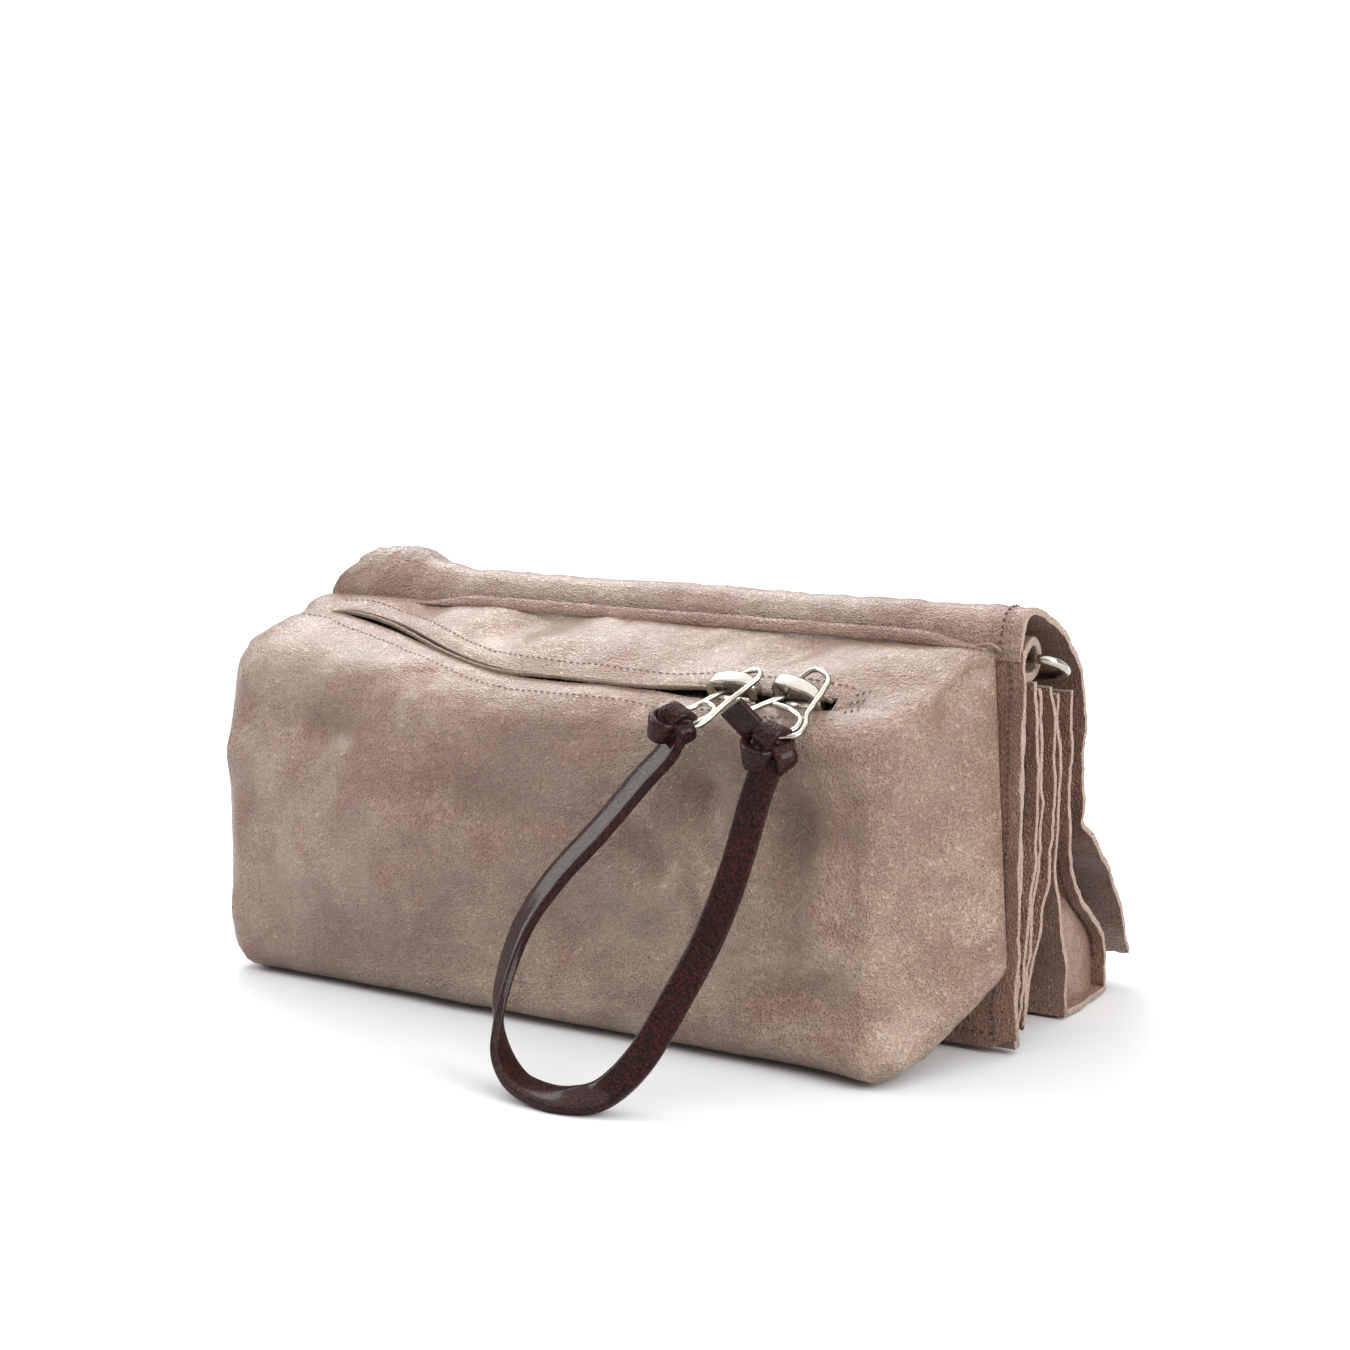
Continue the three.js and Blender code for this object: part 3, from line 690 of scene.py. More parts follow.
def pouch_skin():
    """The pouch in one skin, with a slot cut in its top and its two folded ends joined on."""
    shares = skin_columns()
    rows = len(skin_profile(0.0))
    grid = np.zeros((rows, len(shares), 3))
    for j, share in enumerate(shares):
        x_mid = mix(POUCH_LEFT, POUCH_RIGHT, share)
        line = skin_profile(x_mid)
        inward = skin_inward(line)
        radius = np.full(rows, 13.0 if share > 0.5 else 7.0)
        radius[:FOOT_ROW + 4] = 4.0
        radius[RIDGE_ROW - 2:] = 3.0
        radius = np.convolve(np.pad(radius, 4, mode="edge"), np.ones(9) / 9, mode="valid")
        left, right = side_x(line[:, 0], line[:, 1], -1), side_x(line[:, 0], line[:, 1], 1)
        x = mix(left, right, share)
        reach = np.minimum(x - left, right - x)
        inset = radius * (1 - np.sqrt(np.clip(1 - np.clip(1 - reach / radius, 0, 1) ** 2, 0, 1)))
        place = line + inward * inset[:, None]
        place[-1, 0] = place[0, 0] = 0.0
        grid[:, j, 0] = x
        grid[:, j, 1:] = place
    caps = []
    for column, end in ((0, -1), (-1, 1)):
        cap, swell = end_panel(grid[:, column])
        cap[..., 0] += end * swell
        caps.append(cap if end > 0 else cap[:, ::-1])
    grid = dress_skin(grid, grid_normals(grid))
    keep = np.ones((rows - 1, len(shares) - 1), bool)
    centre_x = (grid[SLOT_ROW, 1:, 0] + grid[SLOT_ROW, :-1, 0]) / 2
    keep[SLOT_ROW] = ~((centre_x > SLOT_X[0]) & (centre_x < SLOT_X[1]))
    points = [grid.reshape(-1, 3)]
    faces = grid_faces(rows, len(shares), keep=keep)
    start = rows * len(shares)
    for cap, column, border in ((caps[0], 0, -1), (caps[1], -1, 0)):
        cap = dress_skin(cap, grid_normals(cap))
        cap[:, border] = grid[FOOT_ROW:RIDGE_ROW + 1, column]
        points.append(cap.reshape(-1, 3))
        faces += grid_faces(cap.shape[0], cap.shape[1], start=start)
        start += cap.shape[0] * cap.shape[1]
    obj = new_object("pouch_skin", np.vstack(points), faces, LEATHER_SIDES)
    close_seams(obj, [grid[FOOT_ROW:SLOT_ROW, column] for column in (0, -1)])
    thicken(obj, LEATHER)
    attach(obj, "bag")
    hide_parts("pouch_back_panel", "pouch_top_strip", "pouch_base", "pouch_side_left", "pouch_side_right")
    return grid


def close_seams(obj, edges):
    """Welds the end panels to the skin along their shared edges, and eases the turn between them."""
    mesh = bmesh.new()
    mesh.from_mesh(obj.data)
    places = to_scene(np.vstack(edges))
    border = [v for v in mesh.verts if v.is_boundary and abs(v.co.x) > 112 * MM]
    bmesh.ops.remove_doubles(mesh, verts=border, dist=1.2 * MM)
    near = []
    for v in mesh.verts:
        if not v.is_boundary and np.min(np.sum((places - np.array(v.co)) ** 2, axis=1)) < (9 * MM) ** 2:
            near.append(v)
    for _ in range(14):
        bmesh.ops.smooth_vert(mesh, verts=near, factor=0.5, use_axis_x=True, use_axis_y=True, use_axis_z=True)
    mesh.to_mesh(obj.data)
    mesh.free()


# ------------------------------------------------------------------ sheets of the pocket part

GUSSET_INSET = 5.5  # from the sheets' ends to the gussets' outer edges


def profile_sheet(name, line, rows, node, wave, seed, shape, sides=SHADED_SIDES, columns=110,
                  half=HALF_WIDTH, edge=0.9, body="bag"):
    """A raw-edged sheet spanning the bag, following a [y, z] outline with its face on the left."""
    crowding = np.pi / 2 * 0.92
    shares = np.sin(np.linspace(-1, 1, columns) * crowding) / np.sin(crowding)
    grid = np.zeros((rows, columns, 3))
    grid[:] = curve_points([(0.0, y, z) for y, z in line], rows)[:, None]
    grid[..., 0] = shares[None] * half
    normals = grid_normals(grid)
    border = smooth((np.abs(grid[..., 0]) - half + 16.0) / 16.0)
    push = wave * (0.7 * wobble(grid, 46.0, seed) + 0.35 * wobble(grid, 15.0, seed + 4.0))
    push = push + border * (0.5 * wave * sway(grid, (0.2, 1, 1), 34.0, seed + 8.0))
    grid = grid + normals * push[..., None]
    rim = smooth((np.abs(grid[..., 0]) - half + 4.0) / 4.0) * np.sign(grid[..., 0])
    grid[..., 0] += rim * edge * (sway(grid, (0, 1, 1), 13.0, seed + 2.0) - 0.3)
    grid[..., 0] += rim * 0.35 * edge * sway(grid, (0, 1, 1), 3.5, seed + 6.0)
    grid = shape(grid)
    obj = leather_sheet(name, grid, SHEET, sides)
    if body:
        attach(obj, body)
        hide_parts(node)
    return grid


def gusset(name, left, right, top, bottom, side, depth, seed):
    """A pocket's end, folded inwards between its two walls, whose y is given at the bottom and the top."""
    t = np.linspace(0, 1, 26)[:, None]
    u = np.linspace(0, 1, 13)[None]
    y = mix(mix(left[0], left[1], t), mix(right[0], right[1], t), u)
    z = mix(bottom, top, t) + 0 * u
    x = side * (HALF_WIDTH - GUSSET_INSET - depth * np.sin(np.pi * u) ** 0.7 * smooth(t / 0.18 + 0.15))
    grid = np.stack([x, y, z], axis=-1)
    if side < 0:
        grid = grid[:, ::-1]
    grid = grid + grid_normals(grid) * (0.7 * wobble(grid, 15.0, seed))[..., None]
    obj = leather_sheet(name, drawn_back(grid), GUSSET, SHADED_SIDES)
    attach(obj, "bag")


def bowed(grid):
    """The pockets' side edges stand away from the seam at mid height."""
    border = smooth((np.abs(grid[..., 0]) - 104.0) / 26.0)
    rise = np.clip((grid[..., 2] - 42.0) / 68.0, 0, 1)
    grid[..., 1] += 3.6 * border * np.sin(rise * np.pi) * smooth((grid[..., 1] - 6.0) / 6.0)
    return grid


def drawn_back(grid):
    """The rear pockets' side edges bow, and lean back towards the seam at the bottom."""
    y, z = grid[..., 1], grid[..., 2]
    border = smooth((np.abs(grid[..., 0]) - 104.0) / 26.0)
    grid[..., 1] = mix(y, 2.4 + (y - 2.4) * 0.5, border * smooth((56.0 - z) / 52.0))
    return bowed(grid)


# [y, z] outlines, from each pocket's outer mouth round its foot to its inner mouth.
BACK_PANEL = [(0.9, 1.6), (0.6, 30), (0.8, 80), (0.9, 122.6)]
REAR_POCKET = [(13.8, 112), (14.1, 60), (13.2, 8), (10.2, 2.2), (6.2, 2.2), (3.2, 8), (2.8, 60), (3.3, 112.5)]
MIDDLE_POCKET = [(26.8, 109), (27.2, 60), (25.6, 36), (21.2, 14.5), (17.8, 7.0), (15.6, 9.5), (15.2, 40),
                 (15.4, 109.5)]
FRONT_POCKET = [(42.4, 105.5), (40.8, 62), (53.2, 39.4), (68.6, 27.4), (76.6, 18), (79.0, 3.5), (76.5, 0.8),
                (46, 0.8), (43.6, 3), (40.6, 20.5), (33.6, 40.5), (28.9, 60), (28.9, 106)]


def pocket_wave(amount, seed, leaning=True):
    """Lets a pocket's mouth sway a little."""
    def shape(grid):
        mouth = smooth((grid[..., 2] - 70.0) / 40.0)
        grid[..., 1] += amount * mouth * sway(grid, (1, 0, 0), 55.0, seed)
        grid[..., 2] += mouth * 1.1 * sway(grid, (1, 0, 0), 40.0, seed + 3.0)
        return drawn_back(grid) if leaning else bowed(grid)
    return shape


def panel_shape(grid):
    """The back panel is drawn in at its top left, under the flap's crumpled end."""
    x, z = grid[..., 0], grid[..., 2]
    grid[..., 0] = x + 13.0 * smooth((-x - 84.0) / 50.0) * smooth((z - 96.0) / 22.0)
    corner = smooth((np.abs(x) - 122.0) / 12.0) * smooth((12.0 - z) / 12.0)
    grid[..., 2] += 4.0 * corner ** 2
    return grid


def add_pockets():
    """The back panel, the three pockets and their ends; returns the sheets' grids."""
    grids = {
        "back": profile_sheet("back_panel", BACK_PANEL, 46, "body_back_panel", 0.35, 1.0, panel_shape,
                              half=HALF_WIDTH + 1.0),
        "rear": profile_sheet("pocket_rear", REAR_POCKET, 90, "rear_pocket", 0.4, 11.0, pocket_wave(0.5, 2.0)),
        "middle": profile_sheet("pocket_middle", MIDDLE_POCKET, 90, "middle_pocket", 0.5, 21.0,
                                pocket_wave(0.7, 6.0)),
        "front": profile_sheet("pocket_front", FRONT_POCKET, 130, "front_pocket", 0.8, 31.0,
                               pocket_wave(0.6, 9.0, False), columns=130),
    }
    for word, side in SIDES:
        gusset("rear_gusset_" + word, (3.6, 3.4), (12.6, 13.4), 110, 6, side, 10.0, side)
        gusset("middle_gusset_" + word, (16.0, 16.0), (22.5, 26.0), 106, 16, side, 11.0, side + 5)
        front_end(word, side)
    return grids


def front_end(word, side):
    """The front pocket's end: it follows the pocket's outline, and folds in behind its raw edges."""
    path = curve_points([(0.0, y, z) for y, z in FRONT_POCKET], 130)
    outer = resample(path[2:60], 50)
    inner = resample(path[-58:-2][::-1], 50)
    u = np.linspace(0, 1, 13)[None, :, None]
    grid = mix(inner[:, None], outer[:, None], u)
    width = np.linalg.norm(outer - inner, axis=-1)[:, None]
    height = np.mean(grid[..., 2], axis=1, keepdims=True)
    fold = np.minimum(8.0, width * 0.4) * np.sin(np.pi * u[..., 0]) ** 0.7
    grid[..., 0] = side * (HALF_WIDTH - GUSSET_INSET - fold * mix(1.0, -0.3, smooth((50.0 - height) / 18.0)))
    grid = grid[::-1] if side > 0 else grid[::-1, ::-1]
    grid = grid + grid_normals(grid) * (0.7 * wobble(grid, 14.0, 40.0 + side))[..., None]
    obj = leather_sheet("front_gusset_" + word, bowed(grid), GUSSET, SHADED_SIDES)
    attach(obj, "bag")


FLAP = [(0.2, 119.5), (0.5, 124.5), (2.2, 129.4), (5.4, 132.8), (9.5, 134.2), (14, 133.6), (22, 130.8),
        (33, 125.4), (43.8, 117.6), (51.2, 108), (54.8, 96), (55.6, 80), (56.8, 62), (64, 51.5), (75.6, 42),
        (84.6, 29), (91.6, 17), (96.6, 9.4)]


def flap_shape(grid):
    """The flap's folded and crumpled left end, its sway and its uneven lower edge."""
    x, y, z = grid[..., 0], grid[..., 1], grid[..., 2]
    along = np.linspace(0, 1, grid.shape[0])[:, None]
    top = bump(along, 0.15, 0.12)
    ragged = smooth((-88.0 - x) / 24.0)
    grid[..., 2] = z + top * (6.4 * smooth((-68.0 - x) / 38.0) + 0.8 * sway(grid, (1, 0, 0), 9.0, 47.0)
                              + 0.9 * ragged * sway(grid, (1, 1, 0), 9.0, 49.0))
    cut = 12.0 + 13.0 * smooth((along - 0.015) / 0.09)
    drawn = smooth((-x - 78.0) / 56.0) * (1 - smooth((along - 0.3) / 0.3))
    grid[..., 0] = x = x + (cut + 1.6 * ragged * sway(grid, (0, 1, 1), 4.0, 45.0)) * drawn
    hang = smooth((along - 0.45) / 0.3)
    swing = 1.8 * sway(grid, (1, 0, 0.4), 60.0, 51.0) + 0.9 * sway(grid, (1, 0, 0.4), 22.0, 53.0)
    grid[..., 1] = y + hang * swing
    low = smooth((along - 0.9) / 0.1)
    grid[..., 2] += low * (2.6 * sway(grid, (1, 0, 0), 24.0, 55.0) + 1.4 * sway(grid, (1, 0, 0), 7.0, 57.0))
    side = smooth((np.abs(x) - 116.0) / 18.0) * np.sign(x)
    grid[..., 0] += side * 3.4 * smooth((61.0 - z) / 4.0) * hang
    grid[..., 0] += side * hang * (1.6 * sway(grid, (0, 1, 1), 26.0, 59.0) - 1.0)
    return grid


def add_seam_shade_strip():
    """A narrow strip of the darker leather along the top seam, under the flap's roll: painted shade for the
    roll's shaded lower part.
    """
    x = np.linspace(-86.0, 124.0, 120)
    line = np.array([[-2.6, 123.0], [-2.2, 124.4], [-1.4, 125.6], [-0.5, 126.4]])
    rise = smooth((x + 86.0) / 30.0) * smooth((126.0 - x) / 26.0)
    grid = np.stack([np.stack([x, np.full_like(x, y), 122.4 + (z - 122.4) * rise], axis=-1) for y, z in line])
    grid = grid[::-1] + 0.35 * np.array([0, -1, 1]) * wobble(grid, 9.0, 90.0)[..., None]
    # The darker shaded leather on this strip is painted shade under the flap's roll.
    obj = leather_sheet("seam_shade_strip", grid, 1.0, SHADED_SIDES)
    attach(obj, "bag")


def add_flap():
    """The flap in one sheet; returns its grid."""
    # The flap's underside takes the darker copy of the leather: painted shade.
    grid = profile_sheet("flap_skin", FLAP, 120, None, 0.7, 61.0, flap_shape, [TAUPE, SHADED_TAUPE, EDGE],
                         columns=140, edge=1.1, body=None)
    obj = bpy.data.objects["flap_skin"]
    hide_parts("flap_root", "flap")
    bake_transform(obj)
    return grid


# ------------------------------------------------------------------ zip, sliders and pulls

def slope_frame(x):
    """The ways along the slope and away from it, where the zip is straight."""
    y, z = slot_centre(x)
    slope = math.atan2(SEAM_Z - z, -GAP - y)
    return np.array([0, math.cos(slope), math.sin(slope)]), np.array([0, -math.sin(slope), math.cos(slope)])


def from_slider(side, local):
    """Points given as (sideways, up the slope, above the leather) from a slider's middle."""
    x = SLIDER_X[side]
    up, out = slope_frame(x)
    local = np.asarray(local, float)
    origin = np.array([x, *(float(v) for v in slot_centre(x))])
    return origin + local[:, :1] * np.array([[1.0, 0, 0]]) + local[:, 1:2] * up + local[:, 2:3] * out


def add_lip_edge():
    """The upper lip's cut edge, which stands proud of the slot."""
    x = np.linspace(SLOT_X[0] + 2, SLOT_X[1] - 1, 200)
    raised = lip_raise(x)
    along = lip_gap(x) - 0.9 * raised - 0.15
    rough = wobble(np.stack([x, 0 * x, 0 * x], axis=1), 4.0, 33.0)
    line = on_slope(x, along, 1.5 * raised - 0.75) + 0.12 * rough[:, None]
    up = unit(on_slope(x, along + 1.0, 0.0) - on_slope(x, along, 0.0))
    obj = ring_object("slot_lip_edge", sweep(line, flat_section(0.8, 1.55, 16, 4.0), up), EDGE)
    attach(obj, "bag")


def add_zip():
    """Two tapes under the lips, a row of separate teeth between them, and a stop at each end."""
    x = np.linspace(SLOT_X[0] + 1, SLOT_X[1] + 1, 150)
    for name, node, start, end in (("zip_tape_low", "zip_tape_lower", -7.0, -1.1),
                                   ("zip_tape_high", "zip_tape_upper", 1.1, 7.0)):
        along = np.linspace(start, end, 8)
        grid = np.stack([on_slope(x, a, -2.6 - 0.2 * math.sin(i)) for i, a in enumerate(along)])
        obj = leather_sheet(name, grid, 0.7, [TAPE, TAPE, TAPE])
        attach(obj, "bag")
        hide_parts(node)
    points, faces = [], []
    corners = np.array([[sx, sa, sh] for sx in (-0.42, 0.42) for sa in (-1, 1) for sh in (-0.5, 0.5)])
    box_faces = [(0, 1, 3, 2), (4, 6, 7, 5), (0, 4, 5, 1), (2, 3, 7, 6), (0, 2, 6, 4), (1, 5, 7, 3)]
    for i, tooth_x in enumerate(np.arange(SLOT_X[0] + 5.0, SLOT_X[1] - 4.0, 1.05)):
        shift = 0.55 if i % 2 else -0.55
        start = len(points)
        for cx, ca, ch in corners:
            points.append(on_slope(tooth_x + cx, shift + ca * 1.35, -2.1 + ch * 1.1).tolist())
        faces += [tuple(start + k for k in face) for face in box_faces]
    teeth = outward(new_object("zip_teeth_row", np.array(points), faces, [ZIP_METAL]))
    soften(teeth, 0.16, 40)
    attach(teeth, "bag")
    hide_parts("zip_teeth")
    for name, node, stop_x in (("zip_end_left", "zip_stop_left", SLOT_X[0] + 2.0),
                               ("zip_end_right", "zip_stop_right", SLOT_X[1] - 1.0)):
        line = on_slope(np.full(5, stop_x), np.linspace(-2.2, 2.2, 5), -2.0)
        rings = sweep(line, flat_section(2.4, 1.5), np.array([[1.0, 0, 0]]))
        stop = ring_object(name, rings, ZIP_METAL)
        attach(stop, "bag")
        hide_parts(node)


# The bridge over a slider, along it and above the leather, and how each slider has turned and tipped.
BRIDGE = [(-6.6, -0.5), (-6.9, 3.2), (-6.0, 5.2), (-3.4, 5.9), (0, 6.1), (3.4, 5.9), (6.0, 5.0), (6.9, 3.0),
          (6.6, -0.5)]
SLIDER_TURN = {"left": np.array([0, 0.03, 0.0]), "right": np.array([0, -0.22, -0.14])}


def add_slider(side):
    """A cast slider: plates inside the lips, a diamond between them, and a flat bridge over a window."""
    up = slope_frame(SLIDER_X[side])[0]
    turn = SLIDER_TURN[side]
    parts = []

    def add_bar(line, widths, height, sides=20, squareness=5.0):
        section = np.stack([flat_section(w, height, sides, squareness) for w in widths])
        parts.append((sweep(from_slider(side, line), section, up[None]), False))

    bridge = curve_points([(x, 0, above) for x, above in BRIDGE], 40)
    widths = mix(4.2, 5.4, np.clip(1 - (bridge[:, 0] / 6.0) ** 2, 0, 1))
    add_bar(bridge + bridge[:, :1] * turn, widths, 3.0, 24, 7.0)
    for above, half in ((-0.6, 4.3), (-3.9, 4.0)):
        plate = [(x, 0, above) for x in (-7.4, -7.0, -5.0, 0.0, 5.0, 7.0, 7.4)]
        add_bar(plate, np.array([0.55, 0.8, 1.0, 0.86, 0.8, 0.62, 0.45]) * half * 2, 1.3)
    add_bar([(-6.4, 0, -2.2), (-4.6, 0, -2.2), (-2.4, 0, -2.2)], (1.2, 2.6, 0.8), 2.4, 16)
    obj = combine("zip_slider_" + side, parts, NICKEL)
    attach(obj, "slider_" + side)
    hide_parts("slider_" + side)


# Each pull's wire, from one end to the other, in from_slider's ways.
WIRE_PATHS = {
    "right": [(-3.5, -8.4, 5.2), (0.6, -9.4, 5.2), (3.9, -10.7, 5.0), (7.3, -13.2, 4.8), (8.3, -17.2, 4.6),
              (6.0, -21.4, 5.2), (0.0, -24.4, 6.2), (-6.4, -21.0, 6.0), (-9.6, -13.4, 5.0), (-8.0, -9.0, 4.4),
              (-3.6, -1.6, 3.2), (-3.0, 1.6, 3.3), (-1.5, 5.4, 4.8), (1.6, 8.3, 6.0), (5.4, 7.4, 6.3),
              (8.6, 4.2, 6.2), (9.3, 0.6, 6.0), (8.8, -6.4, 5.2), (8.6, -11.6, 4.6), (10.0, -15.4, 4.2),
              (10.0, -20.4, 4.6), (6.4, -23.2, 5.4), (1.0, -25.4, 6.2)],
    "left": [(-4.2, -11.2, 5.4), (-1.2, -11.8, 5.2), (0.9, -13.6, 4.9), (0.2, -17.6, 4.8), (-3.0, -21.4, 5.3),
             (-7.0, -23.8, 6.0), (-10.2, -20.4, 5.8), (-8.8, -16.0, 5.0), (-6.2, -12.0, 4.5), (-2.2, -1.6, 3.2),
             (-1.4, 1.4, 3.3), (0.8, 4.0, 4.8), (3.8, 4.8, 6.2), (7.2, 4.2, 7.0), (9.0, 1.4, 7.2),
             (7.4, -3.6, 6.8), (3.0, -11.6, 5.4), (0.9, -18.6, 4.8), (-1.6, -23.4, 5.0), (-5.4, -26.0, 5.8)],
}
WIRE_RADIUS = 0.85


def add_wire(side):
    """A bent-wire pull, hooked round its slider's bridge."""
    line = curve_points(from_slider(side, WIRE_PATHS[side]), 170)
    rings = sweep(line, round_section(WIRE_RADIUS, 14), steady_across(line, (0, 0.3, 1)))
    obj = ring_object("pull_ring_" + side, rings, NICKEL)
    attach(obj, "handle" if side == "right" else "pull_left")
    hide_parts("pull_wire_" + side)


def box_middle(node):
    low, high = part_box(node)
    return (np.array(low) + np.array(high)) / 2 / MM - np.array([0, SEAM_Y, 0])


# The knots' own ways: sideways, up, and outwards past the pouch's corner.
KNOT_WAYS = np.array([[0.855, 0.518, 0.0], [-0.08, 0.133, 0.988], [0.512, -0.845, 0.155]])


def overhand(centre, size, depth, width, height, turn, squash=1.0):
    """A tight knot of flat strap: bands that cross over and under one another, facing outwards."""
    t = np.linspace(0, 2 * math.pi, 120, endpoint=False)
    a = (np.sin(t) + 2 * np.sin(2 * t)) * size / 3
    b = (np.cos(t) - 2 * np.cos(2 * t)) * size / 3
    c, s = math.cos(turn), math.sin(turn)
    local = np.stack([a * c - b * s, (a * s + b * c) * squash, -np.sin(3 * t) * depth], axis=1)
    line = centre + local @ KNOT_WAYS
    facing = unit(local * np.array([1.0, 1.0, 2.4])) @ KNOT_WAYS
    across = np.cross(facing, tangents(line, True))
    return sweep(line, flat_section(width, height, 20, 4.0), across, closed=True), True


def strap_bit(centre, points, width, height, across):
    """A short length of strap, given in the knots' ways."""
    line = curve_points(centre + np.array(points, float) @ KNOT_WAYS, 16)
    way = np.array(across, float) @ KNOT_WAYS
    return sweep(line, flat_section(width, height, 20, 6.0), way[None] + 0 * line), False


def add_knots():
    """Two tight overhand knots; the right one's free end stands up behind it."""
    left = box_middle("knot_left") + np.array([-1.2, 0.6, 0.0]) @ KNOT_WAYS
    right = box_middle("knot_right") + np.array([-0.4, -3.4, 0.0]) @ KNOT_WAYS
    left_core = [(-4, 2.2, -0.6), (0, 0.4, 0.6), (4, -1.6, -0.6)]
    right_core = [(-4.5, 2.5, -0.8), (0, 0, 0.4), (4.5, -2.5, -0.8)]
    free_end = [(0.5, 0.5, -1.5), (-5.2, 6.6, -0.6), (-10.8, 12.4, 0.4)]
    left_parts = [overhand(left, 5.9, 2.6, 6.6, 2.6, 0.45, 0.86),
                  strap_bit(left, left_core, 8.0, 4.4, (0.3, 0.95, 0.1))]
    right_parts = [overhand(right, 6.6, 2.9, 7.0, 2.7, 2.75),
                   strap_bit(right, right_core, 8.0, 4.4, (0.5, 0.85, 0.1)),
                   strap_bit(right, free_end, 8.2, 2.8, (0.62, 0.5, 0.6))]
    for side, body, parts in (("left", "pull_left", left_parts), ("right", "handle", right_parts)):
        obj = combine("strap_knot_" + side, parts, LACE)
        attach(obj, body)
        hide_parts("knot_" + side)


STRAP_ROUTE = [(51.6, -56.9, 99.2), (49.2, -58.8, 93.5), (43, -61.5, 86), (31.5, -66, 71), (20, -73, 56),
               (14.2, -82, 42), (13.8, -92, 25), (18.5, -99, 12.5), (26.5, -104, 5.6), (36, -106, 3.2),
               (46, -106.5, 3.2), (56, -103.5, 5.8), (64.5, -97.5, 15.5), (70.5, -88.5, 31), (75, -78, 47),
               (78, -68.5, 65), (80.6, -61.8, 84), (82.4, -58.8, 93), (83.2, -57.6, 98.6)]
# The way the strap's outer face looks, by how far along it is.
STRAP_FACING = [(0.0, (-0.3, -0.775, 0.556)), (0.22, (-0.3, -0.78, 0.54)), (0.34, (-0.5, -0.82, 0.07)),
                (0.5, (-0.16, 0.27, -0.91)), (0.66, (-0.46, 0.76, -0.44)), (1.0, (-0.51, 0.85, -0.15))]
STRAP_WIDTH = 9.0
STRAP_HEIGHT = 3.0


def add_strap():
    """The lace that hangs in a loop from one knot to the other."""
    line = curve_points(STRAP_ROUTE, 170)
    t = np.linspace(0, 1, len(line))
    shares = [share for share, _ in STRAP_FACING]
    facing = np.stack([np.interp(t, shares, [way[k] for _, way in STRAP_FACING]) for k in range(3)], axis=1)
    for _ in range(12):
        facing[1:-1] = unit(facing[:-2] + 2 * facing[1:-1] + facing[2:])
    section = np.repeat(flat_section(STRAP_WIDTH, STRAP_HEIGHT, 28, 7.0)[None], len(line), axis=0)
    section = section * (1 + 0.035 * wobble(line, 9.0, 71.0))[:, None, None]
    obj = ring_object("strap", sweep(line, section, np.cross(facing, tangents(line))), LACE)
    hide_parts("handle_strap")
    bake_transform(obj)


# ------------------------------------------------------------------ strap rings and their tabs

RING_BAR = (21.0, 117.5)
RING_TILT = math.radians(-22)
RING_X = 124.0
RING_RADIUS = 1.5
TAB_HALF_WIDTH = 5.4
# The tab round the ring's bar, in y and z from the bar's middle.
TAB = [(-13, -6.4), (-9, -4.6), (-4, -3.8), (0, -3.6), (3.0, -2.2), (3.8, 0.6), (2.2, 3.2), (-0.6, 3.8),
       (-3.4, 2.2), (-6, -0.6), (-9, -2.2), (-13, -3.8)]


def add_ring(word, side):
    """A D-shaped ring and the leather tab that holds it."""
    half = [(0, 0), (4, 0), (8, 0), (11, 2.2), (12, 7), (10.6, 14), (6, 19.6), (0, 21.5)]
    outline = half + [(-x, reach) for x, reach in half[-2:0:-1]]
    line = curve_points([(x, reach, 0) for x, reach in outline], 96, closed=True)
    points = np.stack([side * RING_X + line[:, 0], RING_BAR[0] + line[:, 1] * math.cos(RING_TILT),
                       RING_BAR[1] + line[:, 1] * math.sin(RING_TILT)], axis=1)
    flat_way = np.array([[0, -math.sin(RING_TILT), math.cos(RING_TILT)]])
    rings = sweep(points, round_section(RING_RADIUS, 14), flat_way, closed=True)
    ring = ring_object("strap_ring_" + word, rings, NICKEL, closed=True)
    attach(ring, "ring_" + word)
    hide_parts("d_ring_" + word)
    path = curve_points([(0.0, RING_BAR[0] + y, RING_BAR[1] + z) for y, z in TAB], 60)
    grid = np.repeat(path[:, None], 16, axis=1)
    grid[..., 0] = side * RING_X + np.linspace(-TAB_HALF_WIDTH, TAB_HALF_WIDTH, 16)[None]
    grid = grid + grid_normals(grid) * (0.3 * wobble(grid, 7.0, 80 + side))[..., None]
    obj = leather_sheet("ring_loop_" + word, grid, 3.0, [TAUPE, TAUPE, EDGE])
    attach(obj, "bag")
    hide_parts("ring_tab_" + word)


# ------------------------------------------------------------------ stitching

ON_TOP = 0.1  # how far above the leather a stitch's middle lies


def surface_line(grid, row_at, x_from, x_to, count=240):
    """Points and normals on a grid along a row that may vary with x."""
    normals = grid_normals(grid)
    points, ways = [], []
    for x in np.linspace(x_from, x_to, count):
        row = row_at(x)
        i = int(np.clip(math.floor(row), 0, grid.shape[0] - 2))
        f = row - i
        xs = mix(grid[i, :, 0], grid[i + 1, :, 0], f)
        j = int(np.clip(np.searchsorted(xs, x) - 1, 0, grid.shape[1] - 2))
        g = (x - xs[j]) / max(xs[j + 1] - xs[j], 1e-6)
        g = float(np.clip(g, 0, 1))
        points.append(mix(mix(grid[i, j], grid[i, j + 1], g), mix(grid[i + 1, j], grid[i + 1, j + 1], g), f))
        ways.append(mix(normals[i, j], normals[i, j + 1], g))
    return np.array(points), unit(np.array(ways))


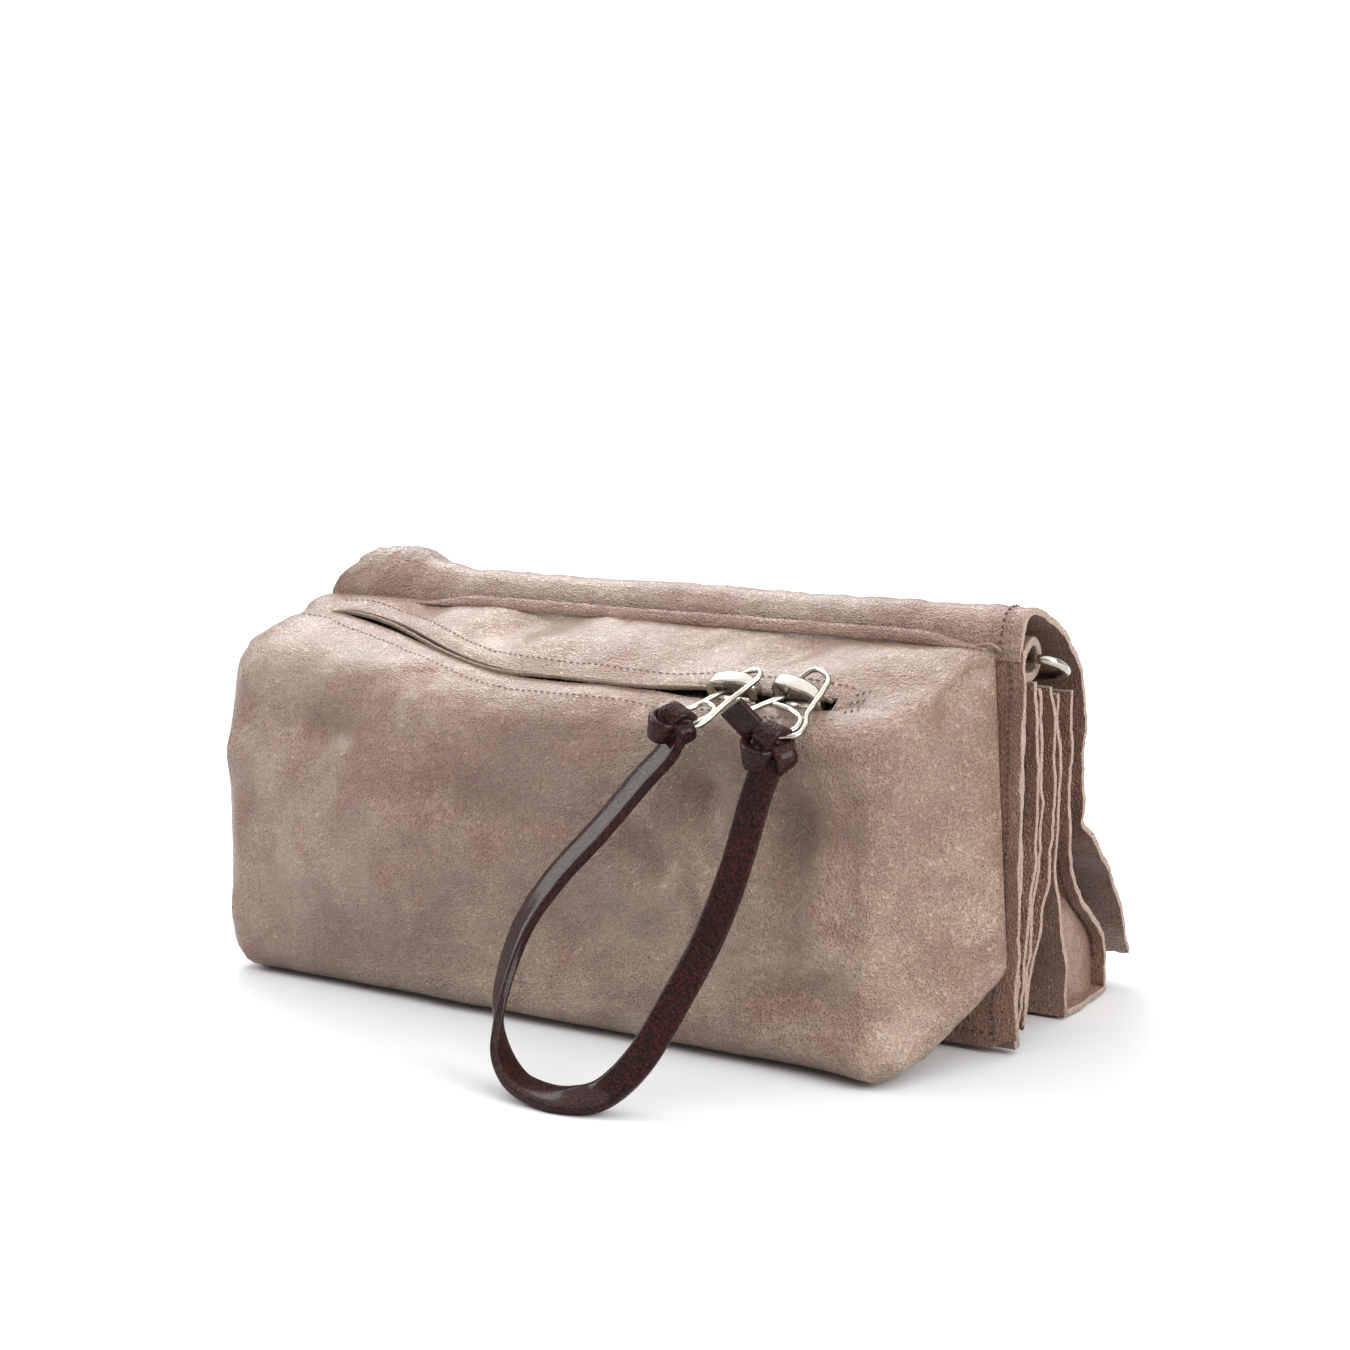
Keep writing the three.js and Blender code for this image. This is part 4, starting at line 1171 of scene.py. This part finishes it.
def edge_line(grid, side, inset, row_from, row_to, low_inset=None, count=220):
    """Points and normals down a sheet, in from its side edge, and further in at its foot if asked."""
    normals = grid_normals(grid)
    points, ways = [], []
    for row in np.linspace(row_from, row_to, count):
        i = int(min(math.floor(row), grid.shape[0] - 2))
        line = mix(grid[i], grid[i + 1], row - i)
        away = inset
        if low_inset is not None:
            away = mix(low_inset, inset, float(smooth((np.mean(line[:, 2]) - 12.0) / 24.0)))
        target = line[-1 if side > 0 else 0, 0] - side * away
        j = int(np.clip(np.searchsorted(line[:, 0], target) - 1, 0, grid.shape[1] - 2))
        g = float(np.clip((target - line[j, 0]) / max(line[j + 1, 0] - line[j, 0], 1e-6), 0, 1))
        points.append(mix(line[j], line[j + 1], g))
        ways.append(normals[i, j])
    return np.array(points), unit(np.array(ways))


def distance_rows(grid, start_row, distance, direction):
    """For each column, the row reached after a distance over the surface from a row."""
    result = []
    for j in range(grid.shape[1]):
        travelled, row = 0.0, float(start_row)
        while 0 < row < grid.shape[0] - 1 and travelled < distance:
            nxt = row + direction
            step = float(np.linalg.norm(grid[int(nxt), j] - grid[int(row), j]))
            if travelled + step >= distance:
                row = row + direction * (distance - travelled) / max(step, 1e-6)
                break
            travelled += step
            row = nxt
        result.append(row)
    return np.array(result)


def add_stitching(skin, sheets, flap):
    """Every row of stitches: on the pouch's top, down the raw edges, at the flap's end and by the zip."""
    columns = skin[SLOT_ROW, :, 0]
    for name, start, distance, step, x_from, x_to in (("slot_low", SLOT_ROW, 7.2, -1, -116, 93),
                                                      ("slot_high", SLOT_ROW + 1, 6.6, 1, -108, 93),
                                                      ("top_seam", skin.shape[0] - 1, 2.9, -1, -118, 122)):
        rows = distance_rows(skin, start, distance, step)
        points, ways = surface_line(skin, lambda x: float(np.interp(x, columns, rows)), x_from, x_to)
        stitches("stitch_" + name, points + ways * 0.06, ways, 2.3, 1.5, 0.2, PALE_THREAD)
    for key, rows in (("rear", (3, 84)), ("middle", (3, 84)), ("front", (4, 52))):
        for word, side in SIDES:
            end = "%s_%s" % (key, word)
            points, ways = edge_line(sheets[key], side, 3.6, *rows)
            stitches("stitch_" + end, points + ways * ON_TOP, ways, 2.0, 1.25, 0.36)
            stitches("stitch_inner_" + end, points - ways * (SHEET + ON_TOP), -ways, 2.0, 1.3, 0.42)
    for word, side in SIDES:
        points, ways = edge_line(sheets["back"], side, 3.9, 1, 44, 7.2)
        stitches("stitch_back_" + word, points + ways * ON_TOP, ways, 2.1, 1.35, 0.45)
    points, ways = edge_line(flap, 1, 6.4, 2, 20)
    stitches("stitch_flap_end", points + ways * ON_TOP, ways, 2.1, 1.35, 0.42, turning=True)
    heights = np.mean(sheets["back"][..., 2], axis=1)
    foot_row = float(np.interp(6.5, heights, np.arange(len(heights))))
    points, ways = surface_line(sheets["back"], lambda x: foot_row, 104, 127)
    stitches("stitch_back_foot", points + ways * ON_TOP, ways, 2.4, 1.6, 0.34)
    out = slope_frame(97.0)[1]
    for k in range(3):
        tack = on_slope(np.full(8, 95.5 + 1.6 * k), np.linspace(-8 + k, 5 + k, 8), 0.9)
        stitches("stitch_bar_tack_%d" % k, tack, np.repeat(out[None], 8, axis=0), 2.7, 1.5, 0.26)
    corner = curve_points([[122.0, -2.2, 124.0], [125.6, -1.6, 124.2], [128.0, -0.6, 122.4]], 12)
    rings = sweep(corner, round_section(0.55, 8), steady_across(corner, (0, 1, 0)))
    obj = ring_object("corner_knot", rings, PALE_THREAD)
    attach(obj, "bag")


# ------------------------------------------------------------------ floor and light

def add_floor():
    half = 1.4
    corners = [(-half, -half, 0), (half, -half, 0), (half, half, 0), (-half, half, 0)]
    mesh = bpy.data.meshes.new("floor")
    mesh.from_pydata(corners, [], [(0, 1, 2, 3)])
    mesh.materials.append(floor_paint())
    floor = bpy.data.objects.new("floor", mesh)
    bpy.context.scene.collection.objects.link(floor)


def add_area(name, place, target, size, power):
    light = bpy.data.lights.new(name, "AREA")
    light.shape = "RECTANGLE"
    light.size, light.size_y = size
    light.energy = power
    obj = bpy.data.objects.new(name, light)
    bpy.context.scene.collection.objects.link(obj)
    obj.location = place
    obj.rotation_euler = (Vector(target) - Vector(place)).to_track_quat("-Z", "Y").to_euler()


BACKDROP_WAY = (-0.52, 0.855, 0.0)  # from the camera to the bag, flat on the floor


def add_world():
    """A white backdrop behind the bag, dimmer overhead and in front of it."""
    world = bpy.data.worlds.new("world")
    nodes = Nodes(world, "Generated")
    split = nodes.add("ShaderNodeSeparateXYZ", {"Vector": nodes.coordinates})
    ahead = nodes.add("ShaderNodeVectorMath", {0: nodes.coordinates, 1: BACKDROP_WAY}, operation="DOT_PRODUCT")
    low = nodes.span(split.outputs["Z"], 0.2, 0.5, 1.03, 0.5)
    behind = nodes.span(ahead.outputs["Value"], 0.1, 0.85, 0.55, 1.0)
    background = nodes.tree.nodes["Background"]
    nodes.put(background.inputs["Strength"], nodes.maths("MULTIPLY", low, behind))
    nodes.put(background.inputs["Color"], (1, 1, 1, 1))
    bpy.context.scene.world = world


def add_lights():
    add_world()
    add_area("overhead", (0, 0, 2.2), (0, 0, 0), (5.0, 5.0), 140.0)
    add_area("key", (-0.95, -0.32, 0.6), (0, -0.05, 0.08), (0.45, 0.5), 6.5)
    add_area("back", (-0.75, 0.75, 1.1), (0, 0, 0.12), (0.9, 0.7), 13.0)
    add_area("side", (1.25, -0.1, 0.6), (0.1, 0, 0.06), (0.8, 0.8), 17.0)
    bpy.context.scene.view_settings.view_transform = "Standard"


def main():
    add_camera()
    add_knots()
    add_strap()
    skin = pouch_skin()
    sheets = add_pockets()
    flap = add_flap()
    add_seam_shade_strip()
    add_lip_edge()
    add_zip()
    for word, side in SIDES:
        add_slider(word)
        add_wire(word)
    for word, side in SIDES:
        add_ring(word, side)
    add_stitching(skin, sheets, flap)
    add_floor()
    add_lights()


main()
